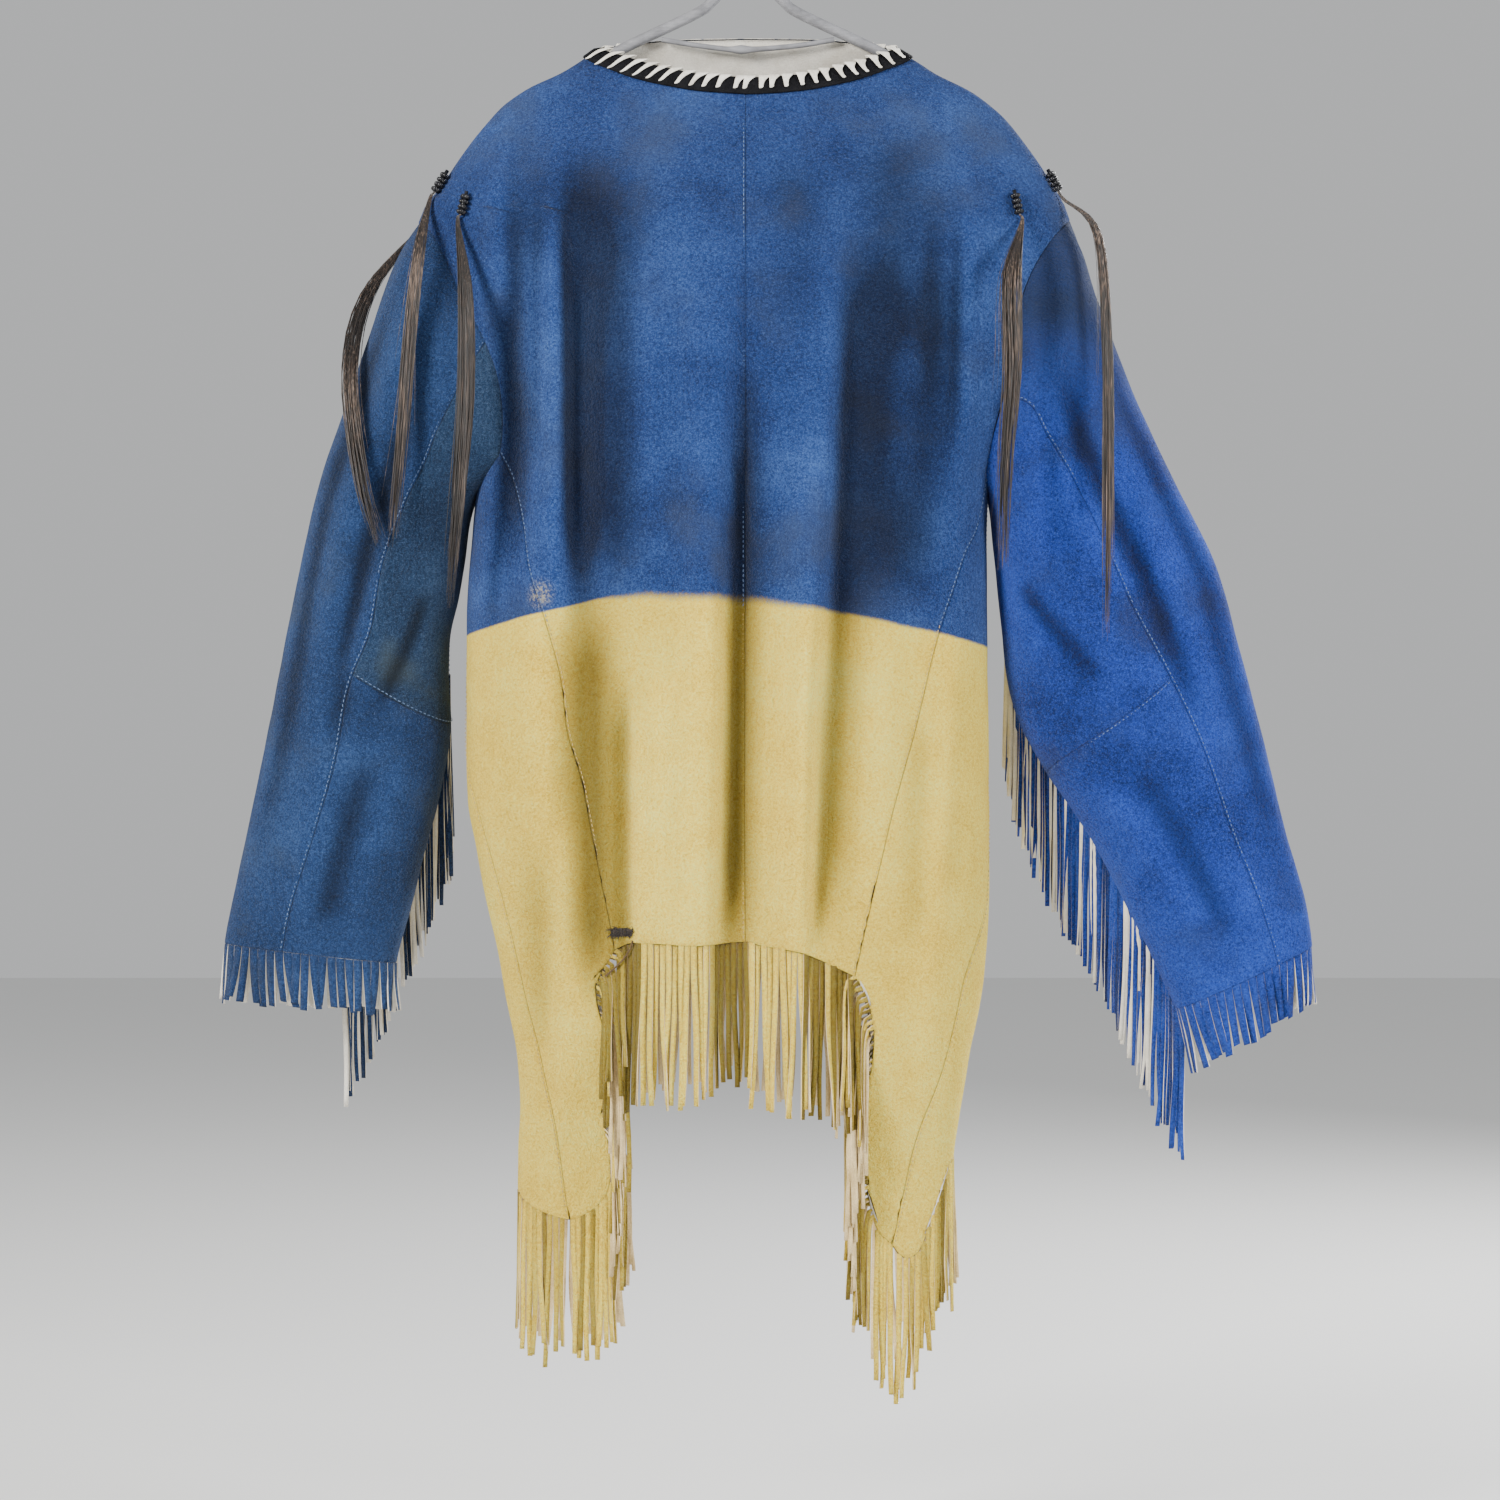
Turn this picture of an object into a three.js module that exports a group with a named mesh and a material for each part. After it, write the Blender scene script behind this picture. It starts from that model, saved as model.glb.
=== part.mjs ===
// War shirt of painted hide, hanging on a tubular clothes hanger.
// Millimetres, +Z up. The origin is the point where the hanger's hook bears on its rod.
// X runs across the shirt, its back faces -Y and its front +Y.
//
// Every cloth piece is a wall on a curved surface. A surface turns a pair of coordinates into a
// point: an angle round the tube, and a row down it (a height on the body, a ring on a sleeve).
// A piece is cut by four edges in those coordinates, and neighbours share the same edge list.

import * as THREE from "three";
import { mergeVertices } from "three/addons/utils/BufferGeometryUtils.js";

// ---------------------------------------------------------------- driving sizes

const HIDE = 2;                 // thickness of the hide
const SEAM_GAP = 0.3;           // gap between neighbouring pieces
const FRINGE_THICKNESS = 3;     // reach of a row of fringe through its depth
const HEM_FRINGE_DROP = 136;
const SLEEVE_FRINGE_DROP = 143;
const SQUARENESS = 2.6;         // superellipse power of the body's level sections
const SLEEVE_ROUNDNESS = 0.85;  // 1 is an ellipse, less is fuller at the edges
const BINDING_LIFT = HIDE + 2 * SEAM_GAP;
const CENTRE_SEAM_X = -2;
const FULL_TURN = 2 * Math.PI;

// Rows of cells up the body: tab, hem to armpit, armhole, shoulder, and columns of each piece.
const TAB_ROWS = 7;
const BODY_ROWS = 13;
const SHOULDER_ROWS = 6;
const BACK_COLUMNS = 11;
const SIDE_COLUMNS = 4;
const TAB_COLUMNS = 6;
const HEM_COLUMNS = 10;
const GUSSET_ROWS = 7;
const UNDER_ROWS = 6;

// ---------------------------------------------------------------- tables

const table = (columns, rows) =>
  rows.map((row) => Object.fromEntries(columns.map((name, i) => [name, row[i]])));

// Level sections of the body: its outline from the back, and half its depth.
const BODY = table(["z", "left", "right", "depth"], [
  [-136, -127, 124, 11],
  [-143, -137, 136, 14],
  [-152, -150, 151, 18],
  [-161, -165, 165, 21],
  [-174, -192, 192, 25],
  [-187, -211, 211, 29],
  [-201, -225, 226, 33],
  [-227, -246, 246, 42],
  [-258, -267, 266, 52],
  [-293, -288, 282, 60],
  [-350, -271, 269, 70],
  [-403, -252, 252, 76],
  [-447, -240, 238, 80],
  [-491, -236, 222, 83],
  [-526, -238, 211, 85],
  [-623, -245, 209, 88],
  [-711, -247, 210, 90],
  [-799, -245, 211, 89],
  [-843, -237, 211, 87],
  [-887, -229, 211, 84],
  [-931, -219, 209, 78],
  [-975, -211, 204, 70],
  [-1019, -203, 194, 62],
  [-1063, -200, 187, 54],
  [-1107, -201, 181, 47],
  [-1151, -202, 179, 42],
  [-1204, -202, 178, 38],
  [-1340, -201, 174, 32],
]);

// Hanging folds: a ridge (or, with a negative height, a trough) runs from xTop to xLow, and
// falls away over its two widths. Heights are away from the body.
const FOLD_COLUMNS = ["xTop", "xLow", "zTop", "zLow", "leftWidth", "rightWidth", "height"];
const BACK_FOLDS = table(FOLD_COLUMNS, [
  [-165, -165, -271, -676, 26, 12, 10],
  [-148, -146, -289, -676, 10, 19, -6],
  [-220, -214, -209, -394, 19, 12, 6],
  [-3, -26, -253, -993, 40, 13, 12],
  [8, -9, -385, -993, 12, 13, -14],
  [42, 39, -588, -993, 25, 32, 8],
  [90, 72, -271, -975, 26, 16, 8],
  [113, 92, -297, -975, 13, 18, -8],
  [-62, -60, -658, -993, 32, 25, 7],
  [-106, -104, -676, -975, 12, 10, -7],
]);
const FRONT_FOLDS = table(FOLD_COLUMNS, [
  [-150, -158, -300, -900, 30, 18, 8],
  [-118, -122, -420, -980, 24, 28, -6],
  [-60, -48, -260, -980, 36, 26, 9],
  [-14, -8, -520, -980, 28, 26, -7],
  [36, 44, -330, -980, 34, 30, 8],
  [92, 84, -600, -980, 26, 28, -7],
  [140, 150, -280, -880, 26, 32, 7],
]);

// Lines of the cut. Near means on the back of the shirt, far on its front.
const LEFT_PRINCESS = table(["z", "x"], [
  [-497, -215], [-522, -203], [-558, -194], [-600, -188], [-641, -175], [-693, -161],
  [-740, -155], [-781, -143], [-817, -136], [-857, -128], [-902, -119], [-927, -115],
]);
const RIGHT_PRINCESS = table(["z", "x"], [
  [-519, 208], [-562, 199], [-585, 188], [-615, 178], [-660, 163],
  [-737, 144], [-808, 124], [-860, 112], [-927, 97], [-950, 92],
]);
const LEFT_TAB_EDGE = table(["z", "x"], [
  [-927, -115], [-942, -126], [-957, -131], [-975, -130], [-997, -124],
  [-1023, -120], [-1053, -124], [-1070, -126], [-1102, -120], [-1126, -119],
]);
const RIGHT_TAB_EDGE = table(["z", "x"], [
  [-950, 92], [-966, 101], [-987, 107], [-1003, 109], [-1028, 107],
  [-1052, 102], [-1079, 99], [-1113, 101], [-1142, 106], [-1164, 113],
]);
const LEFT_ARMHOLE_NEAR = table(["z", "x"], [
  [-293, -288], [-306, -274], [-326, -264], [-359, -249], [-401, -228], [-433, -217],
  [-465, -213], [-497, -215], [-505, -220], [-513, -226], [-521, -232], [-528, -238],
]);
const LEFT_ARMHOLE_FAR = table(["z", "x"], [
  [-293, -288], [-311, -275], [-333, -264], [-363, -252], [-399, -238],
  [-433, -228], [-465, -224], [-491, -224], [-510, -230], [-528, -238],
]);
const RIGHT_ARMHOLE_NEAR = table(["z", "x"], [
  [-290, 282], [-311, 264], [-335, 249], [-359, 239], [-385, 232], [-412, 227],
  [-447, 222], [-482, 213], [-509, 208], [-519, 208], [-526, 211],
]);
const RIGHT_ARMHOLE_FAR = table(["z", "x"], [
  [-290, 282], [-311, 266], [-335, 252], [-359, 243], [-390, 234],
  [-421, 225], [-451, 216], [-482, 209], [-509, 206], [-526, 211],
]);
const HEM = table(["x", "z"], [
  [-115, -927], [-99, -921], [-42, -923], [-2, -920], [11, -923], [45, -929], [65, -937], [92, -950],
]);
// Side seams wander onto the back: degrees round the body from its outline.
const LEFT_SIDE_SEAM = table(["z", "degrees"], [
  [-528, 0], [-711, 0], [-764, 9], [-803, 19], [-836, 22], [-884, 26],
  [-940, 27], [-981, 29], [-1041, 33], [-1096, 40], [-1164, 46],
]);
const RIGHT_SIDE_SEAM = table(["z", "degrees"], [
  [-526, 0], [-799, 0], [-869, 10], [-890, 12], [-934, 24],
  [-964, 29], [-1027, 31], [-1082, 39], [-1134, 44], [-1186, 49],
]);
// Rounded foot of each tab, from its near inner corner round the fold to its far one.
const LEFT_TAB_FOOT = table(["degrees", "z"], [
  [62, -1126], [60, -1142], [54, -1157], [46, -1164], [20, -1151], [0, -1140],
  [-20, -1149], [-46, -1162], [-55, -1156], [-60, -1142], [-62, -1126],
]);
const RIGHT_TAB_FOOT = table(["degrees", "z"], [
  [57, -1164], [54, -1176], [49, -1186], [44, -1198], [36, -1192], [31, -1173], [14, -1120],
  [0, -1113], [-14, -1120], [-31, -1169], [-36, -1186], [-44, -1192], [-50, -1184], [-56, -1164],
]);
// Neck rim, by its share of the way from the shoulder point to the centre.
const BACK_RIM = table(["share", "z"], [
  [0, -140], [0.25, -142], [0.5, -145], [0.65, -150], [0.8, -155], [0.9, -159], [1, -161],
]);
const FRONT_RIM = table(["share", "z"], [[0, -140], [0.25, -141], [0.5, -142], [0.75, -144], [1, -148]]);
const BINDING_HEIGHT = table(["share", "height"], [[0, 7], [0.5, 12], [1, 17]]);

// Rings down each sleeve: outer and inner ends seen from the back, and half the depth.
const RING_COLUMNS = ["ring", "xOuter", "zOuter", "xInner", "zInner", "depth"];
const LEFT_RINGS = table(RING_COLUMNS, [
  [0, -288, -293, -238, -528, 62],
  [1, -303, -317, -245, -553, 60],
  [2, -321, -359, -250, -588, 57],
  [3, -347, -438, -256, -623, 54],
  [4, -374, -517, -263, -658, 50],
  [5, -393, -597, -263, -702, 46],
  [6, -408, -676, -262, -737, 43],
  [7, -424, -755, -270, -786, 40],
  [8, -441, -834, -286, -846, 36],
  [9, -452, -887, -297, -894, 32],
  [10, -459, -925, -310, -942, 28],
  [11, -463, -975, -308, -987, 24],
]);
const RIGHT_RINGS = table(RING_COLUMNS, [
  [0, 282, -290, 211, -526, 62],
  [1, 293, -317, 214, -549, 60],
  [2, 306, -359, 217, -579, 57],
  [3, 336, -438, 221, -614, 54],
  [4, 373, -517, 225, -654, 50],
  [5, 408, -588, 229, -693, 46],
  [6, 431, -667, 241, -733, 43],
  [7, 452, -746, 266, -777, 40],
  [8, 472, -825, 301, -830, 36],
  [9, 488, -883, 336, -896, 32],
  [10, 495, -928, 378, -982, 28],
  [11, 497, -977, 392, -1038, 24],
]);
// Sleeve seams as a share of the way from the outer to the inner end of each ring.
const LEFT_SLEEVE_SEAMS = table(["ring", "near", "far"], [
  [0, 0.46, 0.753], [1, 0.62, 0.87], [2, 0.62, 0.93], [3, 0.56, 0.97], [4, 0.53, 0.98], [5, 0.51, 0.98],
  [6, 0.42, 0.95], [7, 0.42, 0.88], [8, 0.39, 0.8], [9, 0.355, 0.73], [10, 0.357, 0.665],
]);
const RIGHT_SLEEVE_SEAMS = table(["ring", "near", "far"], [
  [0, 0.665, 0.742], [1, 0.6, 0.76], [2, 0.55, 0.84], [3, 0.475, 0.94], [4, 0.434, 0.94], [5, 0.415, 0.93],
  [6, 0.345, 0.92], [7, 0.3, 0.92], [8, 0.3, 0.93], [9, 0.282, 0.94], [10, 0.28, 0.95],
]);

// What differs from one side of the shirt to the other. Armhole stations run down the seam
// from the shoulder tip; the near seam of the sleeve and the princess seam start at one of them.
const LEFT = {
  name: "left",
  princess: LEFT_PRINCESS,
  tabEdge: LEFT_TAB_EDGE,
  tabFoot: LEFT_TAB_FOOT,
  sideSeam: LEFT_SIDE_SEAM,
  armholeNear: LEFT_ARMHOLE_NEAR,
  armholeFar: LEFT_ARMHOLE_FAR,
  nearStations: [-293, -326, -362, -401, -433, -465, -497, -505, -513, -521, -528],
  farStations: [-293, -326, -362, -400, -435, -470, -505, -528],
  nearSeamStation: 3,
  princessStation: 6,
  farSeamStation: 5,
  rings: LEFT_RINGS,
  seams: LEFT_SLEEVE_SEAMS,
  gussetEnds: { near: 5.8, far: 5.75 },
  fringeStart: 4.7,
  tabFringeFoot: table(["degrees", "z"], [
    [75, -1245], [62, -1262], [46, -1283], [0, -1264], [-46, -1280], [-75, -1250],
  ]),
};
const RIGHT = {
  name: "right",
  princess: RIGHT_PRINCESS,
  tabEdge: RIGHT_TAB_EDGE,
  tabFoot: RIGHT_TAB_FOOT,
  sideSeam: RIGHT_SIDE_SEAM,
  armholeNear: RIGHT_ARMHOLE_NEAR,
  armholeFar: RIGHT_ARMHOLE_FAR,
  nearStations: [-290, -330, -370, -409, -447, -484, -519, -521, -523, -525, -526],
  farStations: [-290, -325, -360, -395, -430, -465, -500, -526],
  nearSeamStation: 4,
  princessStation: 6,
  farSeamStation: 5,
  rings: RIGHT_RINGS,
  seams: RIGHT_SLEEVE_SEAMS,
  gussetEnds: { near: 6.05, far: 7.1 },
  fringeStart: 3.5,
  tabFringeFoot: table(["degrees", "z"], [
    [75, -1250], [57, -1295], [44, -1315], [20, -1250], [0, -1235], [-30, -1250], [-57, -1300], [-75, -1250],
  ]),
};

// Bead wraps lie on the shoulders: degrees round the body from the side's outline, positive on
// the back, and height, at the top and foot of each short wound tube, and its gap to the hide.
const WRAP_COLUMNS = ["side", "degrees", "z", "degreesLow", "zLow", "gap"];
const BEAD_WRAPS = table(WRAP_COLUMNS, [
  [LEFT, 10, -250, 13, -270, 0.6],
  [LEFT, 33, -271, 35, -291, 0.6],
  [LEFT, -13, -262, -15, -282, -0.3],
  [RIGHT, 9, -249, 11, -268, 0.6],
  [RIGHT, 37, -270, 38, -291, 0.6],
]);
const WRAP_RADIUS = 4;
const WRAP_SIDES = 10;

// Hair locks, each hanging from its bead wrap: the rest of its centre line, and its radius.
const HAIR_COLUMNS = ["x", "y", "z", "radius"];
const HAIR_LOCKS = [
  [[-284, -56, -320, 5], [-291, -68, -390, 5.5], [-298, -74, -480, 4.5], [-308, -74, -583, 1.5]],
  [[-243, -76, -360, 6.5], [-242, -84, -450, 7], [-248, -88, -540, 5], [-257, -86, -634, 1.5]],
  [[-334, 6, -350, 6], [-346, -42, -425, 6], [-334, -64, -520, 5], [-318, -70, -579, 1.5]],
  [[304, -40, -306, 4], [310, -60, -400, 5], [310, -70, -520, 4.5], [308, -70, -663, 1.5]],
  [[225, -82, -350, 8], [225, -93, -430, 8], [220, -96, -510, 5], [217, -94, -601, 1.5]],
].map((rows) => table(HAIR_COLUMNS, rows));
const HAIR_TOP = { radius: 1.2, gap: 0.7 };
const HAIR_SIDES = 6;
const HAIR_STEPS = 9;

// Hanger: half of its bent tube, from the arm's end to the apex, then its rod and hook.
const ARM_PATH = table(["x", "z"], [
  [-214, -200], [-196, -186.8], [-165, -168.8], [-112, -138.8], [-46, -107.3], [-31, -95.8], [-12, -78.8],
]);
const ARM_RADIUS = 4.8;
const BAR_PATH = table(["x", "z"], [[-76, -130], [-42, -135.4], [-6, -138.8], [42, -135.4], [76, -130]]);
const BAR_RADIUS = 2.4;
const HOOK_WIRE_RADIUS = 2;
const HOOK_RADIUS = 20;         // from the hook's centre to the middle of its wire
const HOOK_SHANK_TOP = -44;
const HOOK_SHANK_FOOT = -71.9;
const HOOK_BEND = { x: 2, below: 8 };
const TUBE_SIDES = 8;
const ROD_STEPS = { arms: 32, bar: 12, hook: 26 };

// ---------------------------------------------------------------- maths

const radians = (degrees) => (degrees * Math.PI) / 180;
const mix = (a, b, t) => a + (b - a) * t;
const steps = (from, to, count, ease = 1) =>
  Array.from({ length: count + 1 }, (_, i) => mix(from, to, (i / count) ** ease));
const join = (...lists) => lists.reduce((all, list) => [...all, ...list.slice(1)]);
const power = (value, exponent) => Math.sign(value) * Math.abs(value) ** exponent;

// Smooth reading of one column of a table, by cubic steps whose slopes come from the neighbours.
function read(rows, key, value, column) {
  const rising = rows[rows.length - 1][key] > rows[0][key];
  const order = rising ? 1 : -1;
  let i = 0;
  while (i < rows.length - 2 && order * (value - rows[i + 1][key]) > 0) i += 1;
  const slope = (j) => {
    const a = rows[Math.max(j - 1, 0)];
    const b = rows[Math.min(j + 1, rows.length - 1)];
    return (b[column] - a[column]) / (b[key] - a[key]);
  };
  const span = rows[i + 1][key] - rows[i][key];
  const t = Math.min(1, Math.max(0, (value - rows[i][key]) / span));
  const rise = rows[i + 1][column] - rows[i][column];
  const start = slope(i) * span - rise;
  const end = rise - slope(i + 1) * span;
  return rows[i][column] + rise * t + t * (1 - t) * (start * (1 - t) + end * t);
}

// ---------------------------------------------------------------- surfaces

const bodySection = (z) => {
  const left = read(BODY, "z", z, "left");
  const right = read(BODY, "z", z, "right");
  return { centre: (left + right) / 2, half: (right - left) / 2, depth: read(BODY, "z", z, "depth") };
};

function foldHeight(folds, x, z) {
  let height = 0;
  for (const fold of folds) {
    const down = (fold.zTop - z) / (fold.zTop - fold.zLow);
    if (down <= 0 || down >= 1) continue;
    const offset = x - mix(fold.xTop, fold.xLow, down);
    const width = offset < 0 ? fold.leftWidth : fold.rightWidth;
    const fade = Math.min(1, 4 * down, 4 * (1 - down));
    height += fold.height * Math.exp(-((offset / width) ** 2)) * fade * fade * (3 - 2 * fade);
  }
  return height;
}

// The body as one tube: 0 is the left outline, a quarter turn the middle of the back, half a turn
// the right outline, and negative angles go round the front.
const bodySurface = {
  point(angle, z) {
    const { centre, half, depth } = bodySection(z);
    const across = power(Math.cos(angle), 2 / SQUARENESS);
    const out = Math.abs(Math.sin(angle)) ** (2 / SQUARENESS);
    const x = centre - half * across;
    const back = Math.sin(angle) > 0;
    const folds = foldHeight(back ? BACK_FOLDS : FRONT_FOLDS, x, z) * Math.min(1, 1.6 * out);
    return new THREE.Vector3(x, (back ? -1 : 1) * (depth * out + folds), z);
  },
  centre: (angle, z) => new THREE.Vector3(bodySection(z).centre, 0, z),
};

// The back's angle at a given x, and the same on the front.
function angleAt(x, z) {
  const { centre, half } = bodySection(z);
  return Math.acos(power(Math.max(-1, Math.min(1, (centre - x) / half)), SQUARENESS / 2));
}
const onBack = (x, z) => [angleAt(x, z), z];
const onFront = (x, z) => [-angleAt(x, z), z];

// Degrees from one side's outline, positive towards the back. Round the front, the right side
// is a whole turn further on.
const fromOutline = (side, degrees) => (side === LEFT ? radians(degrees) : Math.PI - radians(degrees));
const roundFront = (side, degrees) => fromOutline(side, degrees) - (side === LEFT ? 0 : FULL_TURN);

const tipOf = (side) => side.nearStations[0];
const pitOf = (side) => side.nearStations[side.nearStations.length - 1];
const ringAngle = (share) => Math.acos(1 - 2 * share);
const stationAngle = (side, z) => ringAngle((z - tipOf(side)) / (pitOf(side) - tipOf(side)));

// A sleeve as a tube of rings: 0 is the outer edge, half a turn the inner, with the back between.
function sleeveSurface(side) {
  const armhole = (turn) => {
    const share = (1 - Math.cos(turn)) / 2;
    const z = mix(tipOf(side), pitOf(side), share);
    return Math.sin(turn) >= 0
      ? onBack(read(side.armholeNear, "z", z, "x"), z)
      : onFront(read(side.armholeFar, "z", z, "x"), z);
  };
  const ringPoint = (turn, ring) => {
    const value = (column) => read(side.rings, "ring", ring, column);
    const share = (1 - Math.cos(turn)) / 2;
    return new THREE.Vector3(
      mix(value("xOuter"), value("xInner"), share),
      -value("depth") * power(Math.sin(turn), SLEEVE_ROUNDNESS),
      mix(value("zOuter"), value("zInner"), share),
    );
  };
  const blendRings = 1.6;       // the armhole's own shape has died out by this ring
  return {
    point(turn, ring) {
      const point = ringPoint(turn, ring);
      if (ring >= blendRings) return point;
      const seam = bodySurface.point(...armhole(turn)).sub(ringPoint(turn, 0));
      return point.addScaledVector(seam, (1 - ring / blendRings) ** 2);
    },
    centre(turn, ring) {
      const value = (column) => read(side.rings, "ring", ring, column);
      return new THREE.Vector3(
        (value("xOuter") + value("xInner")) / 2, 0, (value("zOuter") + value("zInner")) / 2);
    },
    // At the armhole the sleeve's edge faces as the body's does, so that the two edges meet.
    normal: (turn, ring) => (ring < 1e-6 ? surfaceNormal(bodySurface, ...armhole(turn)) : null),
  };
}

// Rows of fringe hang straight down behind the far seam of a sleeve: a share of the drop, a ring.
function sleeveFringeSurface(side, sleeve) {
  const behind = HIDE / 2 + FRINGE_THICKNESS / 2 + SEAM_GAP;
  const lean = 25;              // the row swings clear of the sleeve's lower half
  const hang = (share, ring, y) => sleeve.point(farTurn(side, ring), ring)
    .add(new THREE.Vector3(0, y + lean * share, -SLEEVE_FRINGE_DROP * share));
  return {
    point: (share, ring) => hang(share, ring, behind),
    centre: (share, ring) => hang(share, ring, -behind),
  };
}

function surfaceNormal(surface, across, down) {
  const own = surface.normal?.(across, down);
  if (own) return own;
  const h = 1e-3;
  const a = surface.point(across + h, down).sub(surface.point(across - h, down));
  const b = surface.point(across, down + h).sub(surface.point(across, down - h));
  const normal = a.cross(b).normalize();
  const outward = surface.point(across, down).sub(surface.centre(across, down));
  return normal.dot(outward) < 0 ? normal.negate() : normal;
}

// ---------------------------------------------------------------- walls

// Fills the space between four edges. All run the same way: left and right from the bottom up,
// bottom and top from left to right. The two sides own the corners.
function fill(left, right, lowEdge, highEdge) {
  const rows = left.length - 1;
  const columns = lowEdge.length - 1;
  const bottom = [left[0], ...lowEdge.slice(1, -1), right[0]];
  const top = [left[rows], ...highEdge.slice(1, -1), right[rows]];
  return left.map((_, i) => bottom.map((__, j) => {
    const s = i / rows;
    const t = j / columns;
    return [0, 1].map((k) =>
      mix(left[i][k], right[i][k], t) + mix(bottom[j][k], top[j][k], s)
      - mix(mix(left[0][k], right[0][k], t), mix(left[rows][k], right[rows][k], t), s));
  }));
}

// A closed wall over one or more grids of surface coordinates, drawn in from its free edges.
function wall(surface, grids, { thickness = HIDE, lift = 0, trim = SEAM_GAP / 2 } = {}) {
  const places = new Map();
  const points = [];
  const normals = [];
  const cells = [];
  const place = ([across, down]) => {
    const point = surface.point(across, down);
    const key = point.toArray().map((value) => Math.round(value * 1e4)).join();
    if (!places.has(key)) {
      places.set(key, points.length);
      points.push(point);
      normals.push(surfaceNormal(surface, across, down));
    }
    return places.get(key);
  };
  for (const grid of grids) {
    const index = grid.map((row) => row.map(place));
    for (let i = 0; i + 1 < index.length; i += 1) {
      for (let j = 0; j + 1 < index[i].length; j += 1) {
        cells.push([index[i][j], index[i][j + 1], index[i + 1][j + 1], index[i + 1][j]]);
      }
    }
  }
  const middle = cells[Math.floor(cells.length / 2)];
  const [a, b, c, d] = middle.map((n) => points[n]);
  const faced = c.clone().sub(a).cross(d.clone().sub(b)).dot(normals[middle[0]]) > 0;
  if (!faced) cells.forEach((cell) => cell.reverse());

  const directed = new Set();
  const sidesOf = (cell) => cell.map((n, k) => [n, cell[(k + 1) % 4]]);
  cells.forEach((cell) => sidesOf(cell).forEach(([from, to]) => directed.add(`${from},${to}`)));
  const free = cells.flatMap(sidesOf).filter(([from, to]) => !directed.has(`${to},${from}`));
  const inward = new Map();
  for (const [from, to] of free) {
    for (const n of [from, to]) {
      const along = points[to].clone().sub(points[from]);
      const pull = normals[n].clone().cross(along).normalize();
      inward.set(n, [...(inward.get(n) ?? []), pull]);
    }
  }
  for (const [n, pulls] of inward) {
    const total = pulls.reduce((sum, pull) => sum.add(pull), new THREE.Vector3()).normalize();
    const lean = Math.max(0.4, total.dot(pulls[0]));
    points[n] = points[n].clone().addScaledVector(total, trim / lean);
  }

  const positions = [];
  for (const offset of [lift + thickness / 2, lift - thickness / 2]) {
    points.forEach((point, n) => positions.push(...point.clone().addScaledVector(normals[n], offset)));
  }
  const under = points.length;
  const faces = [];
  for (const [p, q, r, s] of cells) {
    faces.push(p, q, r, p, r, s);
    faces.push(under + p, under + r, under + q, under + p, under + s, under + r);
  }
  for (const [from, to] of free) {
    faces.push(from, under + from, under + to, from, under + to, to);
  }
  return solid(positions, faces);
}

function solid(positions, faces) {
  const geometry = new THREE.BufferGeometry();
  geometry.setAttribute("position", new THREE.Float32BufferAttribute(positions, 3));
  geometry.setIndex(faces);
  return geometry;
}

// A round closed rod along a curve, its radius a function of the share of its length.
function rod(curve, radiusAt, sides, count) {
  const geometry = new THREE.CylinderGeometry(1, 1, 1, sides, count);
  geometry.deleteAttribute("normal");
  geometry.deleteAttribute("uv");
  const merged = mergeVertices(geometry, 1e-4);
  const frames = curve.computeFrenetFrames(count, false);
  const position = merged.attributes.position;
  for (let n = 0; n < position.count; n += 1) {
    const k = Math.round((0.5 - position.getY(n)) * count);
    const radius = radiusAt(k / count);
    const point = curve.getPointAt(k / count)
      .addScaledVector(frames.normals[k], position.getX(n) * radius)
      .addScaledVector(frames.binormals[k], position.getZ(n) * radius);
    position.setXYZ(n, ...point);
  }
  return outward(merged);
}

// Turns a closed mesh's faces outwards, by the sign of its volume.
function outward(geometry) {
  const position = geometry.attributes.position;
  const corners = Array.from(geometry.index.array);
  const at = (n) => new THREE.Vector3().fromBufferAttribute(position, n);
  let volume = 0;
  for (let n = 0; n < corners.length; n += 3) {
    volume += at(corners[n]).dot(at(corners[n + 1]).cross(at(corners[n + 2])));
  }
  geometry.setIndex(volume < 0 ? corners.reverse() : corners);
  return geometry;
}

// ---------------------------------------------------------------- edges of the body's pieces

const RIM_CENTRE = { back: -161, front: -148 };
const ARMHOLE_FOOT_AT_CENTRE = -505;
const SHOULDER_TIP_AT_CENTRE = -285;
const SHOULDER_EASE = 0.72;     // closer rows towards the neck

const shoulder = (side, start) => steps(tipOf(side), BACK_RIM[0].z, SHOULDER_ROWS, SHOULDER_EASE)
  .map((z) => [start, z]);

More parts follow.
